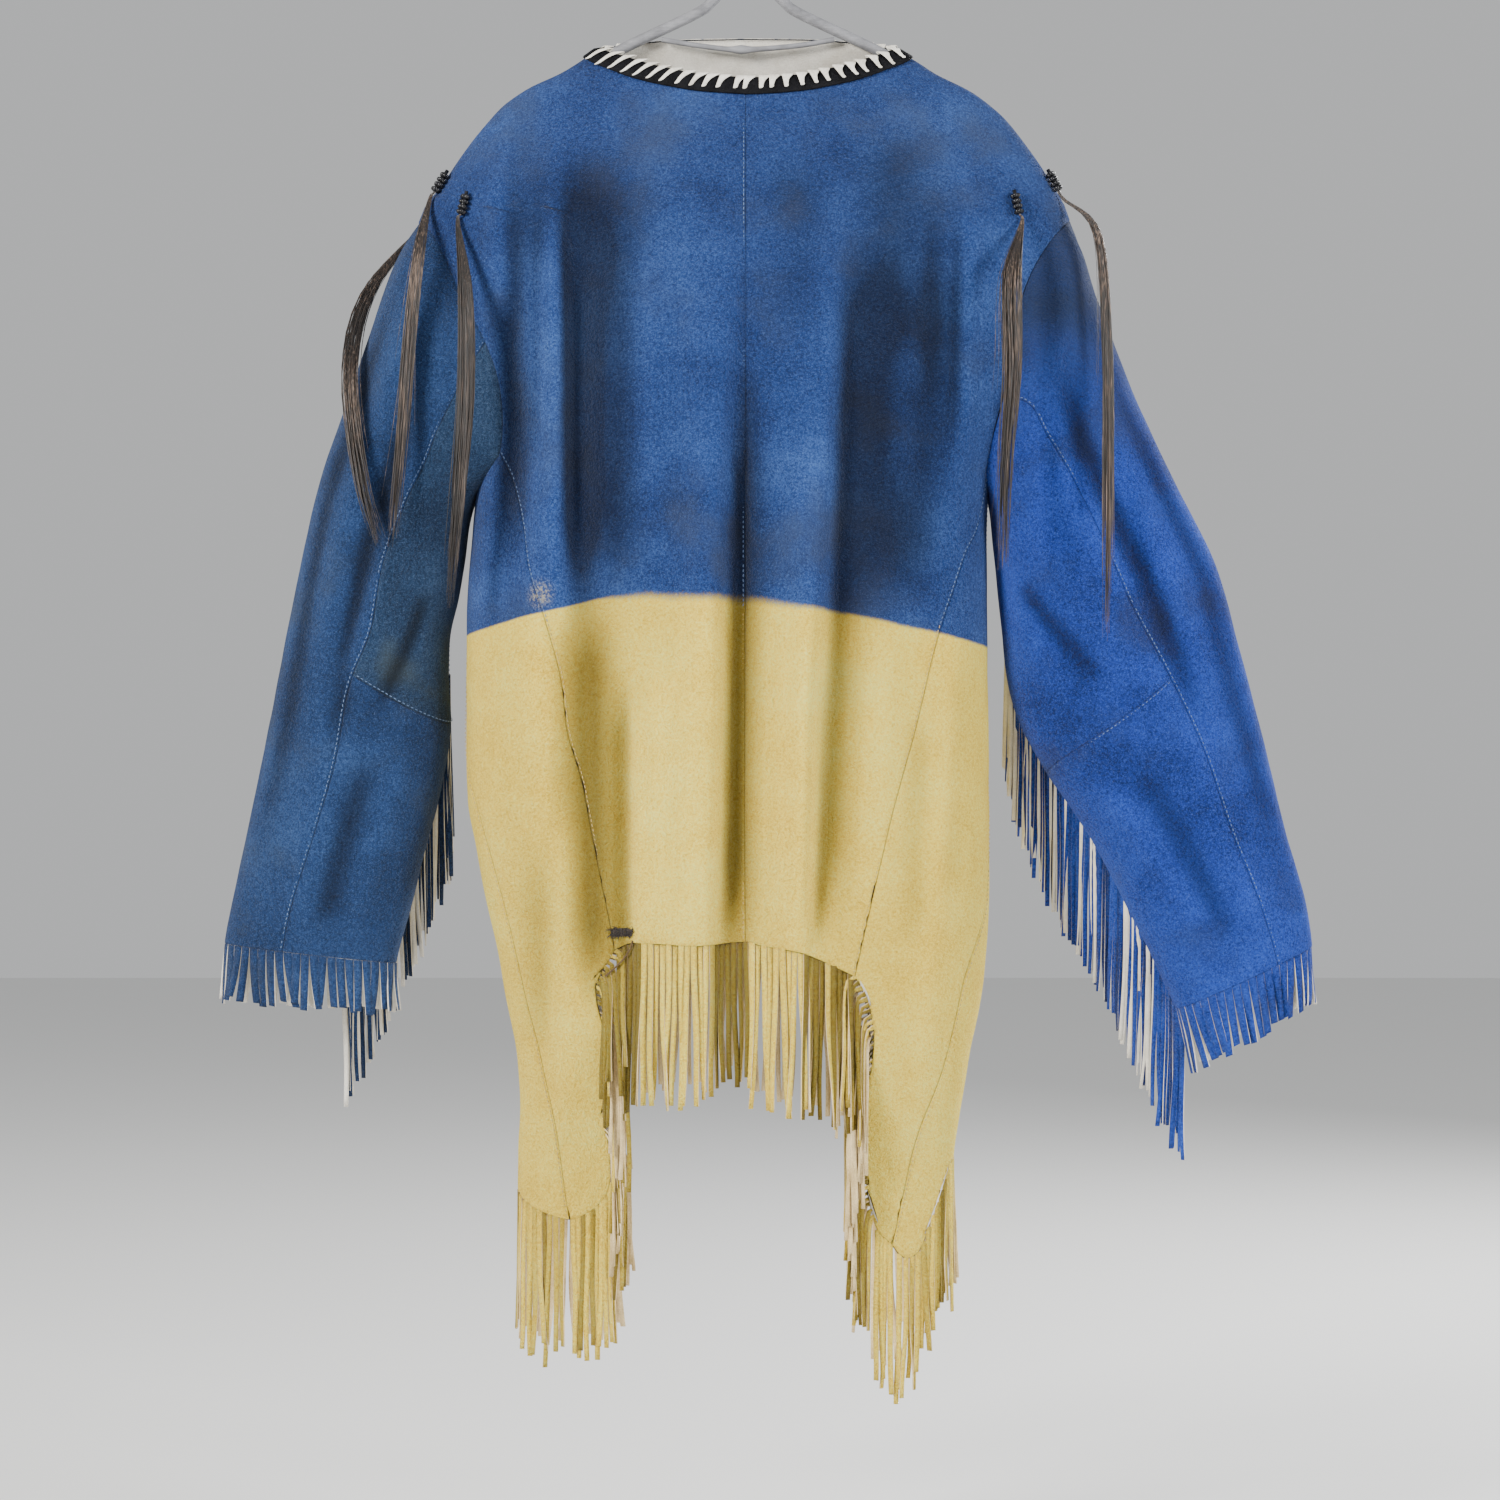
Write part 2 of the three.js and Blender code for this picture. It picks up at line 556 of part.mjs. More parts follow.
function edgesOf(side) {
  const hemZ = side.princess[side.princess.length - 1].z;
  const princessHeights = steps(hemZ, side.nearStations[side.princessStation], BODY_ROWS);
  const footZ = side.tabEdge[side.tabEdge.length - 1].z;
  const seamFoot = side.sideSeam[side.sideSeam.length - 1];
  const seamAngle = (z) => read(side.sideSeam, "z", z, "degrees");
  const near = (z) => onBack(read(side.armholeNear, "z", z, "x"), z);
  const far = (z) => onFront(read(side.armholeFar, "z", z, "x"), z);
  const tabSeamHeights = steps(seamFoot.z, hemZ, TAB_ROWS);
  const bodySeamHeights = steps(hemZ, pitOf(side), BODY_ROWS);
  const tabEdgeHeights = steps(footZ, hemZ, TAB_ROWS);
  const foot = (degrees) => read(side.tabFoot, "degrees", degrees, "z");
  const cornerAngle = angleAt(side.tabEdge[side.tabEdge.length - 1].x, footZ);
  const corner = ((side === LEFT ? cornerAngle : Math.PI - cornerAngle) * 180) / Math.PI;
  return {
    // On the back, from the side seam inwards.
    tabSeam: tabSeamHeights.map((z) => [fromOutline(side, seamAngle(z)), z]),
    bodySeam: bodySeamHeights.map((z) => [fromOutline(side, seamAngle(z)), z]),
    tabEdge: tabEdgeHeights.map((z) => onBack(read(side.tabEdge, "z", z, "x"), z)),
    princess: princessHeights.map((z) => onBack(read(side.princess, "z", z, "x"), z)),
    armhole: side.nearStations.slice(0, side.princessStation + 1).reverse().map(near),
    underarm: side.nearStations.slice(side.princessStation).reverse().map(near),
    nearFoot: steps(seamFoot.degrees, corner, SIDE_COLUMNS).map((d) => [fromOutline(side, d), foot(d)]),
    shoulder: shoulder(side, fromOutline(side, 0)),
    // The same lines as they lie round the front.
    tabSeamFront: tabSeamHeights.map((z) => [roundFront(side, seamAngle(z)), z]),
    bodySeamFront: bodySeamHeights.map((z) => [roundFront(side, seamAngle(z)), z]),
    tabEdgeFront: tabEdgeHeights.map((z) => onFront(read(side.tabEdge, "z", z, "x"), z)),
    armholeFront: side.farStations.slice().reverse().map(far),
    farFoot: steps(seamFoot.degrees, -corner, TAB_COLUMNS).map((d) => [roundFront(side, d), foot(d)]),
    shoulderFront: shoulder(side, roundFront(side, 0)),
  };
}

const edges = { left: edgesOf(LEFT), right: edgesOf(RIGHT) };
const centreBack = join(
  steps(read(HEM, "x", CENTRE_SEAM_X, "z"), ARMHOLE_FOOT_AT_CENTRE, BODY_ROWS),
  steps(ARMHOLE_FOOT_AT_CENTRE, SHOULDER_TIP_AT_CENTRE, LEFT.princessStation),
  steps(SHOULDER_TIP_AT_CENTRE, RIM_CENTRE.back, SHOULDER_ROWS, SHOULDER_EASE),
).map((z) => onBack(CENTRE_SEAM_X, z));

// Stations along the hem between two x places, evenly round the body.
function hemLine(fromX, toX, count, place) {
  const zOf = (x) => read(HEM, "x", x, "z");
  const from = place(fromX, zOf(fromX))[0];
  const to = place(toX, zOf(toX))[0];
  return steps(from, to, count).map((angle, k) => {
    if (k === 0) return place(fromX, zOf(fromX));
    if (k === count) return place(toX, zOf(toX));
    const x = bodySurface.point(angle, zOf((fromX + toX) / 2)).x;
    return place(x, zOf(x));
  });
}

// Neck rim from one outline angle to another, with the centre half way.
function rimLine(rim, from, to, count) {
  return steps(0, 1, count).map((t) => [mix(from, to, t), read(rim, "share", 1 - Math.abs(2 * t - 1), "z")]);
}
const backRim = rimLine(BACK_RIM, 0, Math.PI, 2 * BACK_COLUMNS);
backRim[BACK_COLUMNS] = centreBack[centreBack.length - 1];
const hemLeftX = HEM[0].x;
const hemRightX = HEM[HEM.length - 1].x;

const backHem = {
  left: hemLine(hemLeftX, CENTRE_SEAM_X, BACK_COLUMNS, onBack),
  right: hemLine(CENTRE_SEAM_X, hemRightX, BACK_COLUMNS, onBack),
};
const frontHem = hemLine(hemLeftX, hemRightX, HEM_COLUMNS, onFront);

// ---------------------------------------------------------------- pieces

const group = new THREE.Group();
const finish = (color, roughness) => new THREE.MeshStandardMaterial({ color, roughness });
const MATERIALS = {
  painted: finish(0x2f5f9c, 0.95),
  hide: finish(0xd8c38e, 0.95),
  binding: finish(0x141416, 0.8),
  hair: finish(0x2c211d, 0.5),
  beads: finish(0x0c0c0e, 0.25),
  hanger: finish(0x85858a, 0.45),
};

function add(name, geometry, material) {
  const mesh = new THREE.Mesh(geometry, material);
  mesh.name = name;
  group.add(mesh);
}

function addBack() {
  const { left, right } = edges;
  const leftEdge = join(left.princess, left.armhole, left.shoulder);
  const rightEdge = join(right.princess, right.armhole, right.shoulder);
  add("back_left", wall(bodySurface,
    [fill(leftEdge, centreBack, backHem.left, backRim.slice(0, BACK_COLUMNS + 1))]), MATERIALS.painted);
  add("back_right", wall(bodySurface,
    [fill(centreBack, rightEdge, backHem.right, backRim.slice(BACK_COLUMNS))]), MATERIALS.painted);
  for (const side of [LEFT, RIGHT]) {
    const edge = edges[side.name];
    const grid = fill(join(edge.tabSeam, edge.bodySeam), join(edge.tabEdge, edge.princess),
      edge.nearFoot, edge.underarm);
    add(`side_${side.name}`, wall(bodySurface, [grid]), MATERIALS.painted);
  }
}

// The front is one piece, from side seam to side seam, with half of each tab.
function addFront() {
  const { left, right } = edges;
  const across = (seam, corner) => steps(0, 1, TAB_COLUMNS)
    .map((t) => [mix(seam[0], corner[0], t), mix(seam[1], corner[1], t)]);
  const leftTabTop = across(left.bodySeamFront[0], left.tabEdgeFront[TAB_ROWS]);
  const rightTabTop = across(right.bodySeamFront[0], right.tabEdgeFront[TAB_ROWS]).reverse();
  const tabs = [
    fill(left.tabSeamFront, left.tabEdgeFront, left.farFoot, leftTabTop),
    fill(right.tabEdgeFront, right.tabSeamFront, right.farFoot.slice().reverse(), rightTabTop),
  ];
  const bottom = join(leftTabTop, frontHem, rightTabTop);
  const main = fill(
    join(left.bodySeamFront, left.armholeFront, left.shoulderFront),
    join(right.bodySeamFront, right.armholeFront, right.shoulderFront),
    bottom, rimLine(FRONT_RIM, 0, -Math.PI, bottom.length - 1));
  add("front", wall(bodySurface, [main, ...tabs]), MATERIALS.painted);
}

function addNeckBinding() {
  const lowered = (rim) => rim.map(([angle, z], k) => {
    const share = 1 - Math.abs((2 * k) / (rim.length - 1) - 1);
    return [angle, z - read(BINDING_HEIGHT, "share", share, "height")];
  });
  const band = (name, rim) => {
    const low = lowered(rim);
    const last = rim.length - 1;
    add(name, wall(bodySurface, [fill([low[0], rim[0]], [low[last], rim[last]], low, rim)],
      { lift: BINDING_LIFT, trim: 2 * SEAM_GAP }), MATERIALS.binding);
  };
  band("neck_binding_back", backRim);
  band("neck_binding_front", rimLine(FRONT_RIM, 0, -Math.PI, 2 * BACK_COLUMNS));
}

// The far seam of a sleeve, in turns past the inner edge.
const farTurn = (side, ring) => FULL_TURN - ringAngle(read(side.seams, "ring", ring, "far"));
const nearTurn = (side, ring) => ringAngle(read(side.seams, "ring", ring, "near"));
const CUFF_RING = 10;
const FRINGE_END_RING = 11;
const GUSSET_BULGE = 0.15;
const SLEEVE_TRIM = 0.5;        // its seams bend sharply at the armhole

function addSleeve(side) {
  const sleeve = sleeveSurface(side);
  const nearStart = side.nearSeamStation;
  const farStart = side.farSeamStation;
  const nearList = side.nearStations.map((z) => [stationAngle(side, z), 0]);
  const farList = side.farStations.map((z) => [FULL_TURN - stationAngle(side, z), 0]);
  const backwards = (list) => list.slice().reverse();
  const shift = (list) => list.map(([turn, ring]) => [turn - FULL_TURN, ring]);

  // Seams from the cuff to the armhole, with the foot of the gusset between.
  const seam = (turnAt, split) => join(steps(CUFF_RING, split, UNDER_ROWS), steps(split, 0, GUSSET_ROWS))
    .map((ring) => [turnAt(side, ring), ring]);
  const near = seam(nearTurn, side.gussetEnds.near);
  const far = seam(farTurn, side.gussetEnds.far);
  near[near.length - 1] = nearList[nearStart];
  far[far.length - 1] = farList[farStart];

  const upperTop = join(backwards(shift(farList).slice(0, farStart + 1)), nearList.slice(0, nearStart + 1));
  const gussetTop = join(nearList.slice(nearStart), backwards(farList.slice(farStart)));
  const line = (from, to, count, bulge = 0) => steps(0, 1, count)
    .map((t) => [mix(from[0], to[0], t), mix(from[1], to[1], t) + bulge * Math.sin(Math.PI * t)]);
  const upperFoot = line(shift(far)[0], near[0], upperTop.length - 1);
  const underFoot = line(near[0], far[0], gussetTop.length - 1);
  const split = line(near[UNDER_ROWS], far[UNDER_ROWS], gussetTop.length - 1, GUSSET_BULGE);

  const cut = (name, grid) => add(`sleeve_${side.name}_${name}`,
    wall(sleeve, [grid], { trim: SLEEVE_TRIM }), MATERIALS.painted);
  cut("upper", fill(shift(far), near, upperFoot, upperTop));
  cut("under", fill(near.slice(0, UNDER_ROWS + 1), far.slice(0, UNDER_ROWS + 1), underFoot, split));
  cut("gusset", fill(near.slice(UNDER_ROWS), far.slice(UNDER_ROWS), split, gussetTop));

  // Fringe cut into the end of the cuff, all round.
  const cuff = join(upperFoot, underFoot);
  const cuffEnd = cuff.map(([turn]) => [turn, FRINGE_END_RING]);
  add(`cuff_fringe_${side.name}`, wall(sleeve, [fill([cuffEnd[0], cuff[0]],
    [cuffEnd[cuff.length - 1], cuff[cuff.length - 1]], cuffEnd, cuff)]), MATERIALS.painted);

  // Long fringe sewn into the far seam.
  const seamRings = steps(CUFF_RING, side.fringeStart, UNDER_ROWS + GUSSET_ROWS);
  const drops = steps(0, 1, 2);
  const sheet = seamRings.map((ring) => drops.map((share) => [share, ring]));
  add(`sleeve_fringe_${side.name}`, wall(sleeveFringeSurface(side, sleeve), [sheet],
    { thickness: FRINGE_THICKNESS, trim: SEAM_GAP }), MATERIALS.painted);
}

// Fringe under the arch of the hem, hanging straight down from it.
function addHemFringe(name, place, hem) {
  const clear = 3;
  const rows = 3;
  const end = (x) => place(x, read(HEM, "x", x, "z"));
  const top = [end(hemLeftX + clear), ...hem.slice(1, -1), end(hemRightX - clear)];
  const grid = steps(HEM_FRINGE_DROP, 0, rows).map((drop) => top.map(([angle, z]) => {
    const x = bodySurface.point(angle, z).x;
    return place(x, z - drop);
  }));
  add(name, wall(bodySurface, [grid], { thickness: FRINGE_THICKNESS, trim: SEAM_GAP }), MATERIALS.hide);
}

// Fringe round the foot of a tab: straight down under it, and out from its inner edges.
function addTabFringe(side) {
  const edge = edges[side.name];
  const turn = side === LEFT ? 0 : -FULL_TURN;
  const inwards = side === LEFT ? 1 : -1;
  const edgeReach = { width: 17, drop: 80, more: 22 };
  const edgeRows = 2;
  const hang = (place) => (x, z, k) =>
    place(x + inwards * edgeReach.width, z - edgeReach.drop - edgeReach.more * (edgeRows - k));
  const nearEdge = edge.tabEdge.slice(0, edgeRows + 1).reverse().map(([a, z]) => [a + turn, z]);
  const farEdge = edge.tabEdgeFront.slice(0, edgeRows + 1);
  const nearFoot = edge.nearFoot.slice().reverse().map(([a, z]) => [a + turn, z]);
  const top = join(nearEdge, nearFoot, edge.farFoot, farEdge);
  const footZ = ([angle]) => {
    const degrees = side === LEFT ? angle : -Math.PI - angle;
    return read(side.tabFringeFoot, "degrees", (degrees * 180) / Math.PI, "z");
  };
  const low = top.map((station, k) => {
    const x = bodySurface.point(...station).x;
    const last = top.length - 1;
    if (k < edgeRows) {
      const [a, z] = hang(onBack)(x, station[1], edgeRows - k);
      return [a + turn, z];
    }
    if (k > last - edgeRows) return hang(onFront)(x, station[1], k - (last - edgeRows));
    return [station[0], footZ(station)];
  });
  const sag = { across: 0.7, down: 0.45 };      // strips spread first and then hang
  const middle = top.map(([angle, z], k) => [mix(angle, low[k][0], sag.across), mix(z, low[k][1], sag.down)]);
  add(`tab_fringe_${side.name}`, wall(bodySurface, [[low, middle, top]],
    { thickness: FRINGE_THICKNESS, trim: 2.2 * SEAM_GAP }), MATERIALS.hide);
}

// A scrap of dark fur tacked on over the left princess seam, just above the arch.
function addHemTack() {
  const size = { left: -117, right: -98, top: -908, bottom: -917, thickness: 3 };
  const line = (z) => steps(size.left, size.right, 2).map((x) => onBack(x, z));
  const grid = [line(size.bottom), line(size.top)];
  add("hem_tack", wall(bodySurface, [grid],
    { thickness: size.thickness, lift: (HIDE + size.thickness) / 2 + 2 * SEAM_GAP }), MATERIALS.hair);
}

function addHairLocks() {
  const onShoulder = ({ side, gap }, degrees, z) => {
    const place = [fromOutline(side, degrees), z];
    const clear = HIDE / 2 + WRAP_RADIUS + gap;
    return bodySurface.point(...place).addScaledVector(surfaceNormal(bodySurface, ...place), clear);
  };
  BEAD_WRAPS.forEach((wrap, n) => {
    const top = onShoulder(wrap, wrap.degrees, wrap.z);
    const foot = onShoulder(wrap, wrap.degreesLow, wrap.zLow);
    add(`bead_wrap_${n + 1}`, rod(new THREE.LineCurve3(top, foot), () => WRAP_RADIUS, WRAP_SIDES, 1),
      MATERIALS.beads);
    const start = foot.clone().addScaledVector(foot.clone().sub(top).normalize(), HAIR_TOP.gap);
    const points = [start, ...HAIR_LOCKS[n].map(({ x, y, z }) => new THREE.Vector3(x, y, z))];
    const radii = [HAIR_TOP.radius, ...HAIR_LOCKS[n].map((row) => row.radius)]
      .map((radius, k) => ({ share: k / (points.length - 1), radius }));
    add(`hair_lock_${n + 1}`, rod(new THREE.CatmullRomCurve3(points),
      (share) => read(radii, "share", share, "radius"), HAIR_SIDES, HAIR_STEPS), MATERIALS.hair);
  });
}

function addHanger() {
  const half = ARM_PATH.map(({ x, z }) => new THREE.Vector3(x, 0, z));
  const otherHalf = half.map((point) => new THREE.Vector3(-point.x, 0, point.z)).reverse();
  const arms = new THREE.CatmullRomCurve3([...half, ...otherHalf], false, "centripetal");
  add("hanger_arms", rod(arms, () => ARM_RADIUS, TUBE_SIDES, ROD_STEPS.arms), MATERIALS.hanger);
  const bar = new THREE.CatmullRomCurve3(BAR_PATH.map(({ x, z }) => new THREE.Vector3(x, 0, z)));
  add("hanger_bar", rod(bar, () => BAR_RADIUS, TUBE_SIDES, ROD_STEPS.bar), MATERIALS.hanger);
  const hookCentre = HOOK_WIRE_RADIUS - HOOK_RADIUS;
  const hookTurn = { from: -40, to: 215, count: 10 };
  const around = steps(hookTurn.from, hookTurn.to, hookTurn.count).map((degrees) => new THREE.Vector3(
    HOOK_RADIUS * Math.cos(radians(degrees)), 0, hookCentre + HOOK_RADIUS * Math.sin(radians(degrees))));
  const hook = new THREE.CatmullRomCurve3([
    new THREE.Vector3(0, 0, HOOK_SHANK_FOOT),
    new THREE.Vector3(0, 0, HOOK_SHANK_TOP - HOOK_BEND.below),
    new THREE.Vector3(HOOK_BEND.x, 0, HOOK_SHANK_TOP),
    ...around,
  ], false, "centripetal");
  add("hanger_hook", rod(hook, () => HOOK_WIRE_RADIUS, TUBE_SIDES, ROD_STEPS.hook), MATERIALS.hanger);
}

addBack();
addFront();
addNeckBinding();
[LEFT, RIGHT].forEach(addSleeve);
addHemFringe("hem_fringe_back", onBack, join(backHem.left, backHem.right));
addHemFringe("hem_fringe_front", onFront, frontHem);
[LEFT, RIGHT].forEach(addTabFringe);
addHemTack();
addHairLocks();
addHanger();

export default group;
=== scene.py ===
import math
import random

import bmesh
import bpy
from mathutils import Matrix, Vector, noise


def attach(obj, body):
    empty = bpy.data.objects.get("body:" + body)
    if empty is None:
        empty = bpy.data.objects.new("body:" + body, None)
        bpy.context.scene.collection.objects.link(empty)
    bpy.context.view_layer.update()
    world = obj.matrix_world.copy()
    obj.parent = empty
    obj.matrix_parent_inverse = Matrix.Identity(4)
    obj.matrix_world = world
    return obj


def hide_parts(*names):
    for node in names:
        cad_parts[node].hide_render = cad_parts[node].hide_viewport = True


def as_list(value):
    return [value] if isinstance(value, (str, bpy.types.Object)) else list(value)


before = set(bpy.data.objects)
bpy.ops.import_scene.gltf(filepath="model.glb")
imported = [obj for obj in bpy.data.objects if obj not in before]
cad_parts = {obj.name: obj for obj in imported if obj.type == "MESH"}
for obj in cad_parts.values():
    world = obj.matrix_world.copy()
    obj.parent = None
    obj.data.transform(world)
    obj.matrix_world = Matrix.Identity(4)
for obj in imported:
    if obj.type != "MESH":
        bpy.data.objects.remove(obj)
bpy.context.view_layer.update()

# ---------------------------------------------------------------- studio
# A level camera stands three metres behind the hanging shirt, over a plain pale floor, with a
# large soft light high on its left, a weaker one on its right and one for the front of the shirt.

MM = 0.001
CAMERA_DISTANCE = 3.2
FRAMED_WIDTH = 1.32
AIM = (0.0018, 0.0, -0.755)
FLOOR_Z = -1.52
FLOOR_HALF = 9.0

view_camera = bpy.data.cameras.new("studio_camera")
view_camera.sensor_width = 36
view_camera.lens = 36 * CAMERA_DISTANCE / FRAMED_WIDTH
camera = bpy.data.objects.new("studio_camera", view_camera)
camera.location = (AIM[0], -CAMERA_DISTANCE, AIM[2])
camera.rotation_euler = (math.radians(90), 0, 0)
bpy.context.scene.collection.objects.link(camera)
bpy.context.scene.camera = camera


def soft_light(name, place, size, watts, colour=(1, 1, 1)):
    """An area light turned towards the middle of the shirt."""
    lamp = bpy.data.lights.new(name, "AREA")
    lamp.size = size
    lamp.energy = watts
    lamp.color = colour
    light = bpy.data.objects.new(name, lamp)
    light.location = place
    light.rotation_euler = (Vector(AIM) - Vector(place)).to_track_quat("-Z", "Y").to_euler()
    bpy.context.scene.collection.objects.link(light)


soft_light("key_light", (-2.3, -2.2, 0.6), 0.8, 190, (1, 0.985, 0.955))
soft_light("fill_light", (2.7, -1.5, 0.3), 1.0, 115, (0.97, 0.985, 1))
soft_light("front_light", (2.2, 2.2, 0.7), 1.0, 150)

studio = bpy.data.worlds.new("studio")
studio.use_nodes = True
studio.node_tree.nodes["Background"].inputs["Color"].default_value = (0.86, 0.87, 0.88, 1)
studio.node_tree.nodes["Background"].inputs["Strength"].default_value = 0.62
bpy.context.scene.world = studio


class Field:
    """A shader socket that can be used in a Python expression; each step adds a Math node."""

    def __init__(self, finish, socket):
        self.finish = finish
        self.socket = socket

    def math(self, operation, *values):
        inputs = dict(enumerate(values))
        return self.finish.node("Math", {"operation": operation}, inputs)

    def __add__(self, other):
        return self.math("ADD", self, other)

    def __sub__(self, other):
        return self.math("SUBTRACT", self, other)

    def __rsub__(self, other):
        return self.math("SUBTRACT", other, self)

    def __mul__(self, other):
        return self.math("MULTIPLY", self, other)

    def __truediv__(self, other):
        return self.math("DIVIDE", self, other)

    __radd__ = __add__
    __rmul__ = __mul__

    def rising(self, low, high):
        """0 below low, 1 above high, and smooth between."""
        return self.finish.node(
            "MapRange", {"interpolation_type": "SMOOTHSTEP"}, {0: self, 1: low, 2: high})

    def ramp(self, stops):
        """A colour for each value, from (value, colour) stops."""
        return self.finish.node("ValToRGB", {"stops": stops}, {0: self})


class Finish:
    """A material and the nodes behind it."""

    def __init__(self, name):
        self.material = bpy.data.materials.new(name)
        self.material.use_nodes = True
        self.tree = self.material.node_tree
        self.tree.nodes.clear()

    def node(self, kind, settings, inputs, output=0):
        node = self.tree.nodes.new("ShaderNode" + kind)
        for key, value in settings.items():
            if key == "stops":
                ramp = node.color_ramp
                while len(ramp.elements) < len(value):
                    ramp.elements.new(0.5)
                for element, (position, colour) in zip(ramp.elements, value):
                    element.position = position
                    element.color = (*colour, 1)
            else:
                setattr(node, key, value)
        for key, value in inputs.items():
            if isinstance(value, Field):
                self.tree.links.new(value.socket, node.inputs[key])
            else:
                node.inputs[key].default_value = value
        return Field(self, node.outputs[output]) if node.outputs else None

    def place(self):
        return self.node("TexCoord", {}, {}, "Object")

    def axis(self, place, index):
        return self.node("SeparateXYZ", {}, {0: place}, index)

    def noise(self, place, scale, detail=2.0, roughness=0.5, stretch=(1, 1, 1)):
        if stretch != (1, 1, 1):
            place = self.node("Mapping", {}, {"Vector": place, "Scale": stretch})
        return self.node("TexNoise", {}, {
            "Vector": place, "Scale": scale, "Detail": detail, "Roughness": roughness})

    def blend(self, share, first, second, way="MIX"):
        first, second = [
            value if isinstance(value, Field) else (*value, 1) for value in (first, second)]
        settings = {"data_type": "RGBA", "blend_type": way}
        return self.node("Mix", settings, {0: share, 6: first, 7: second}, 2)

    def surface(self, bump=None, depth=0.0005, **values):
        """Closes the material with a Principled surface; a bump height may shape it."""
        inputs = {key.replace("_", " "): value for key, value in values.items()}
        if bump is not None:
            inputs["Normal"] = self.node(
                "Bump", {}, {"Height": bump, "Strength": 1.0, "Distance": depth})
        shader = self.node("BsdfPrincipled", {}, inputs)
        self.node("OutputMaterial", {}, {"Surface": shader})
        return self.material


def link(name, shape, materials, smooth=True):
    """Makes a bmesh into an object in the scene."""
    mesh = bpy.data.meshes.new(name)
    shape.to_mesh(mesh)
    shape.free()
    for material in materials:
        mesh.materials.append(material)
    mesh.polygons.foreach_set("use_smooth", [smooth] * len(mesh.polygons))
    piece = bpy.data.objects.new(name, mesh)
    bpy.context.scene.collection.objects.link(piece)
    return piece


floor_finish = Finish("pale_floor")
floor_shape = bmesh.new()
bmesh.ops.create_grid(floor_shape, x_segments=1, y_segments=1, size=FLOOR_HALF)
bmesh.ops.translate(floor_shape, verts=floor_shape.verts, vec=(0, 0, FLOOR_Z))
floor = link("studio_floor", floor_shape, [
    floor_finish.surface(Base_Color=(0.78, 0.78, 0.77, 1), Roughness=0.85)])

# ---------------------------------------------------------------- back, side panels and front
# The body is buckskin suede, cut as two back halves, two narrow side panels that end in drop
# tabs and one plain front, sewn edge to edge. The top half is rubbed with blue paint and the
# rest is left gold. The flesh side inside is cream.

HIDE = 2.0                      # how thick the hide is; lengths are in millimetres
SQUARENESS = 2.6
CENTRE_SEAM_X = -2
FULL_TURN = 2 * math.pi


def table(columns, rows):
    """Rows as dicts by column name."""
    names = columns.split()
    return [dict(zip(names, row)) for row in rows]


def mix(a, b, t):
    return a + (b - a) * t


def clamp(value, low=-1.0, high=1.0):
    return max(low, min(high, value))


def steps(start, end, count, ease=1.0):
    return [mix(start, end, (i / count) ** ease) for i in range(count + 1)]


def join(*lists):
    return lists[0] + [item for more in lists[1:] for item in more[1:]]


def power(value, exponent):
    return math.copysign(abs(value) ** exponent, value)


def read(rows, key, value, column):
    """One column of a table at a value of its key, smoothly between the rows."""
    order = 1 if rows[-1][key] > rows[0][key] else -1
    i = 0
    while i < len(rows) - 2 and order * (value - rows[i + 1][key]) > 0:
        i += 1

    def slope(j):
        a, b = rows[max(j - 1, 0)], rows[min(j + 1, len(rows) - 1)]
        return (b[column] - a[column]) / (b[key] - a[key])

    span = rows[i + 1][key] - rows[i][key]
    t = clamp((value - rows[i][key]) / span, 0.0, 1.0)
    rise = rows[i + 1][column] - rows[i][column]
    start = slope(i) * span - rise
    end = rise - slope(i + 1) * span
    return rows[i][column] + rise * t + t * (1 - t) * (start * (1 - t) + end * t)


BODY = table("z left right depth", [
    (-136, -127, 124, 11), (-143, -137, 136, 14), (-152, -150, 151, 18), (-161, -165, 165, 21),
    (-174, -192, 192, 25), (-187, -211, 211, 29), (-201, -225, 226, 33), (-227, -246, 246, 42),
    (-258, -267, 266, 52), (-293, -288, 282, 60), (-350, -271, 269, 70), (-403, -252, 252, 76),
    (-447, -240, 238, 80), (-491, -236, 222, 83), (-526, -238, 211, 85), (-623, -245, 209, 88),
    (-711, -247, 210, 90), (-799, -245, 211, 89), (-843, -237, 211, 87), (-887, -229, 211, 84),
    (-931, -219, 209, 78), (-975, -211, 204, 70), (-1019, -203, 194, 62), (-1063, -200, 187, 54),
    (-1107, -201, 181, 47), (-1151, -202, 179, 42), (-1204, -202, 178, 38), (-1340, -201, 174, 32)])

# A hanging fold is a ridge, or with a negative height a trough, from (xTop, zTop) to (xLow, zLow).
FOLD = "xTop xLow zTop zLow leftWidth rightWidth height"
BACK_FOLDS = table(FOLD, [
    (-165, -165, -271, -676, 26, 12, 10), (-148, -146, -289, -676, 10, 19, -6),
    (-220, -214, -209, -394, 19, 12, 6), (-16, -42, -253, -993, 34, 11, 12),
    (-5, -15, -385, -993, 13, 16, -14), (42, 39, -588, -993, 25, 32, 4),
    (74, 40, -271, -975, 24, 12, 10), (96, 58, -297, -975, 12, 22, -10),
    (-62, -60, -658, -993, 32, 25, 7), (-106, -104, -676, -975, 12, 10, -7)])
FRONT_FOLDS = table(FOLD, [
    (-150, -158, -300, -900, 30, 18, 8), (-118, -122, -420, -980, 24, 28, -6),
    (-60, -48, -260, -980, 36, 26, 9), (-14, -8, -520, -980, 28, 26, -7),
    (36, 44, -330, -980, 34, 30, 8), (92, 84, -600, -980, 26, 28, -7),
    (140, 150, -280, -880, 26, 32, 7)])
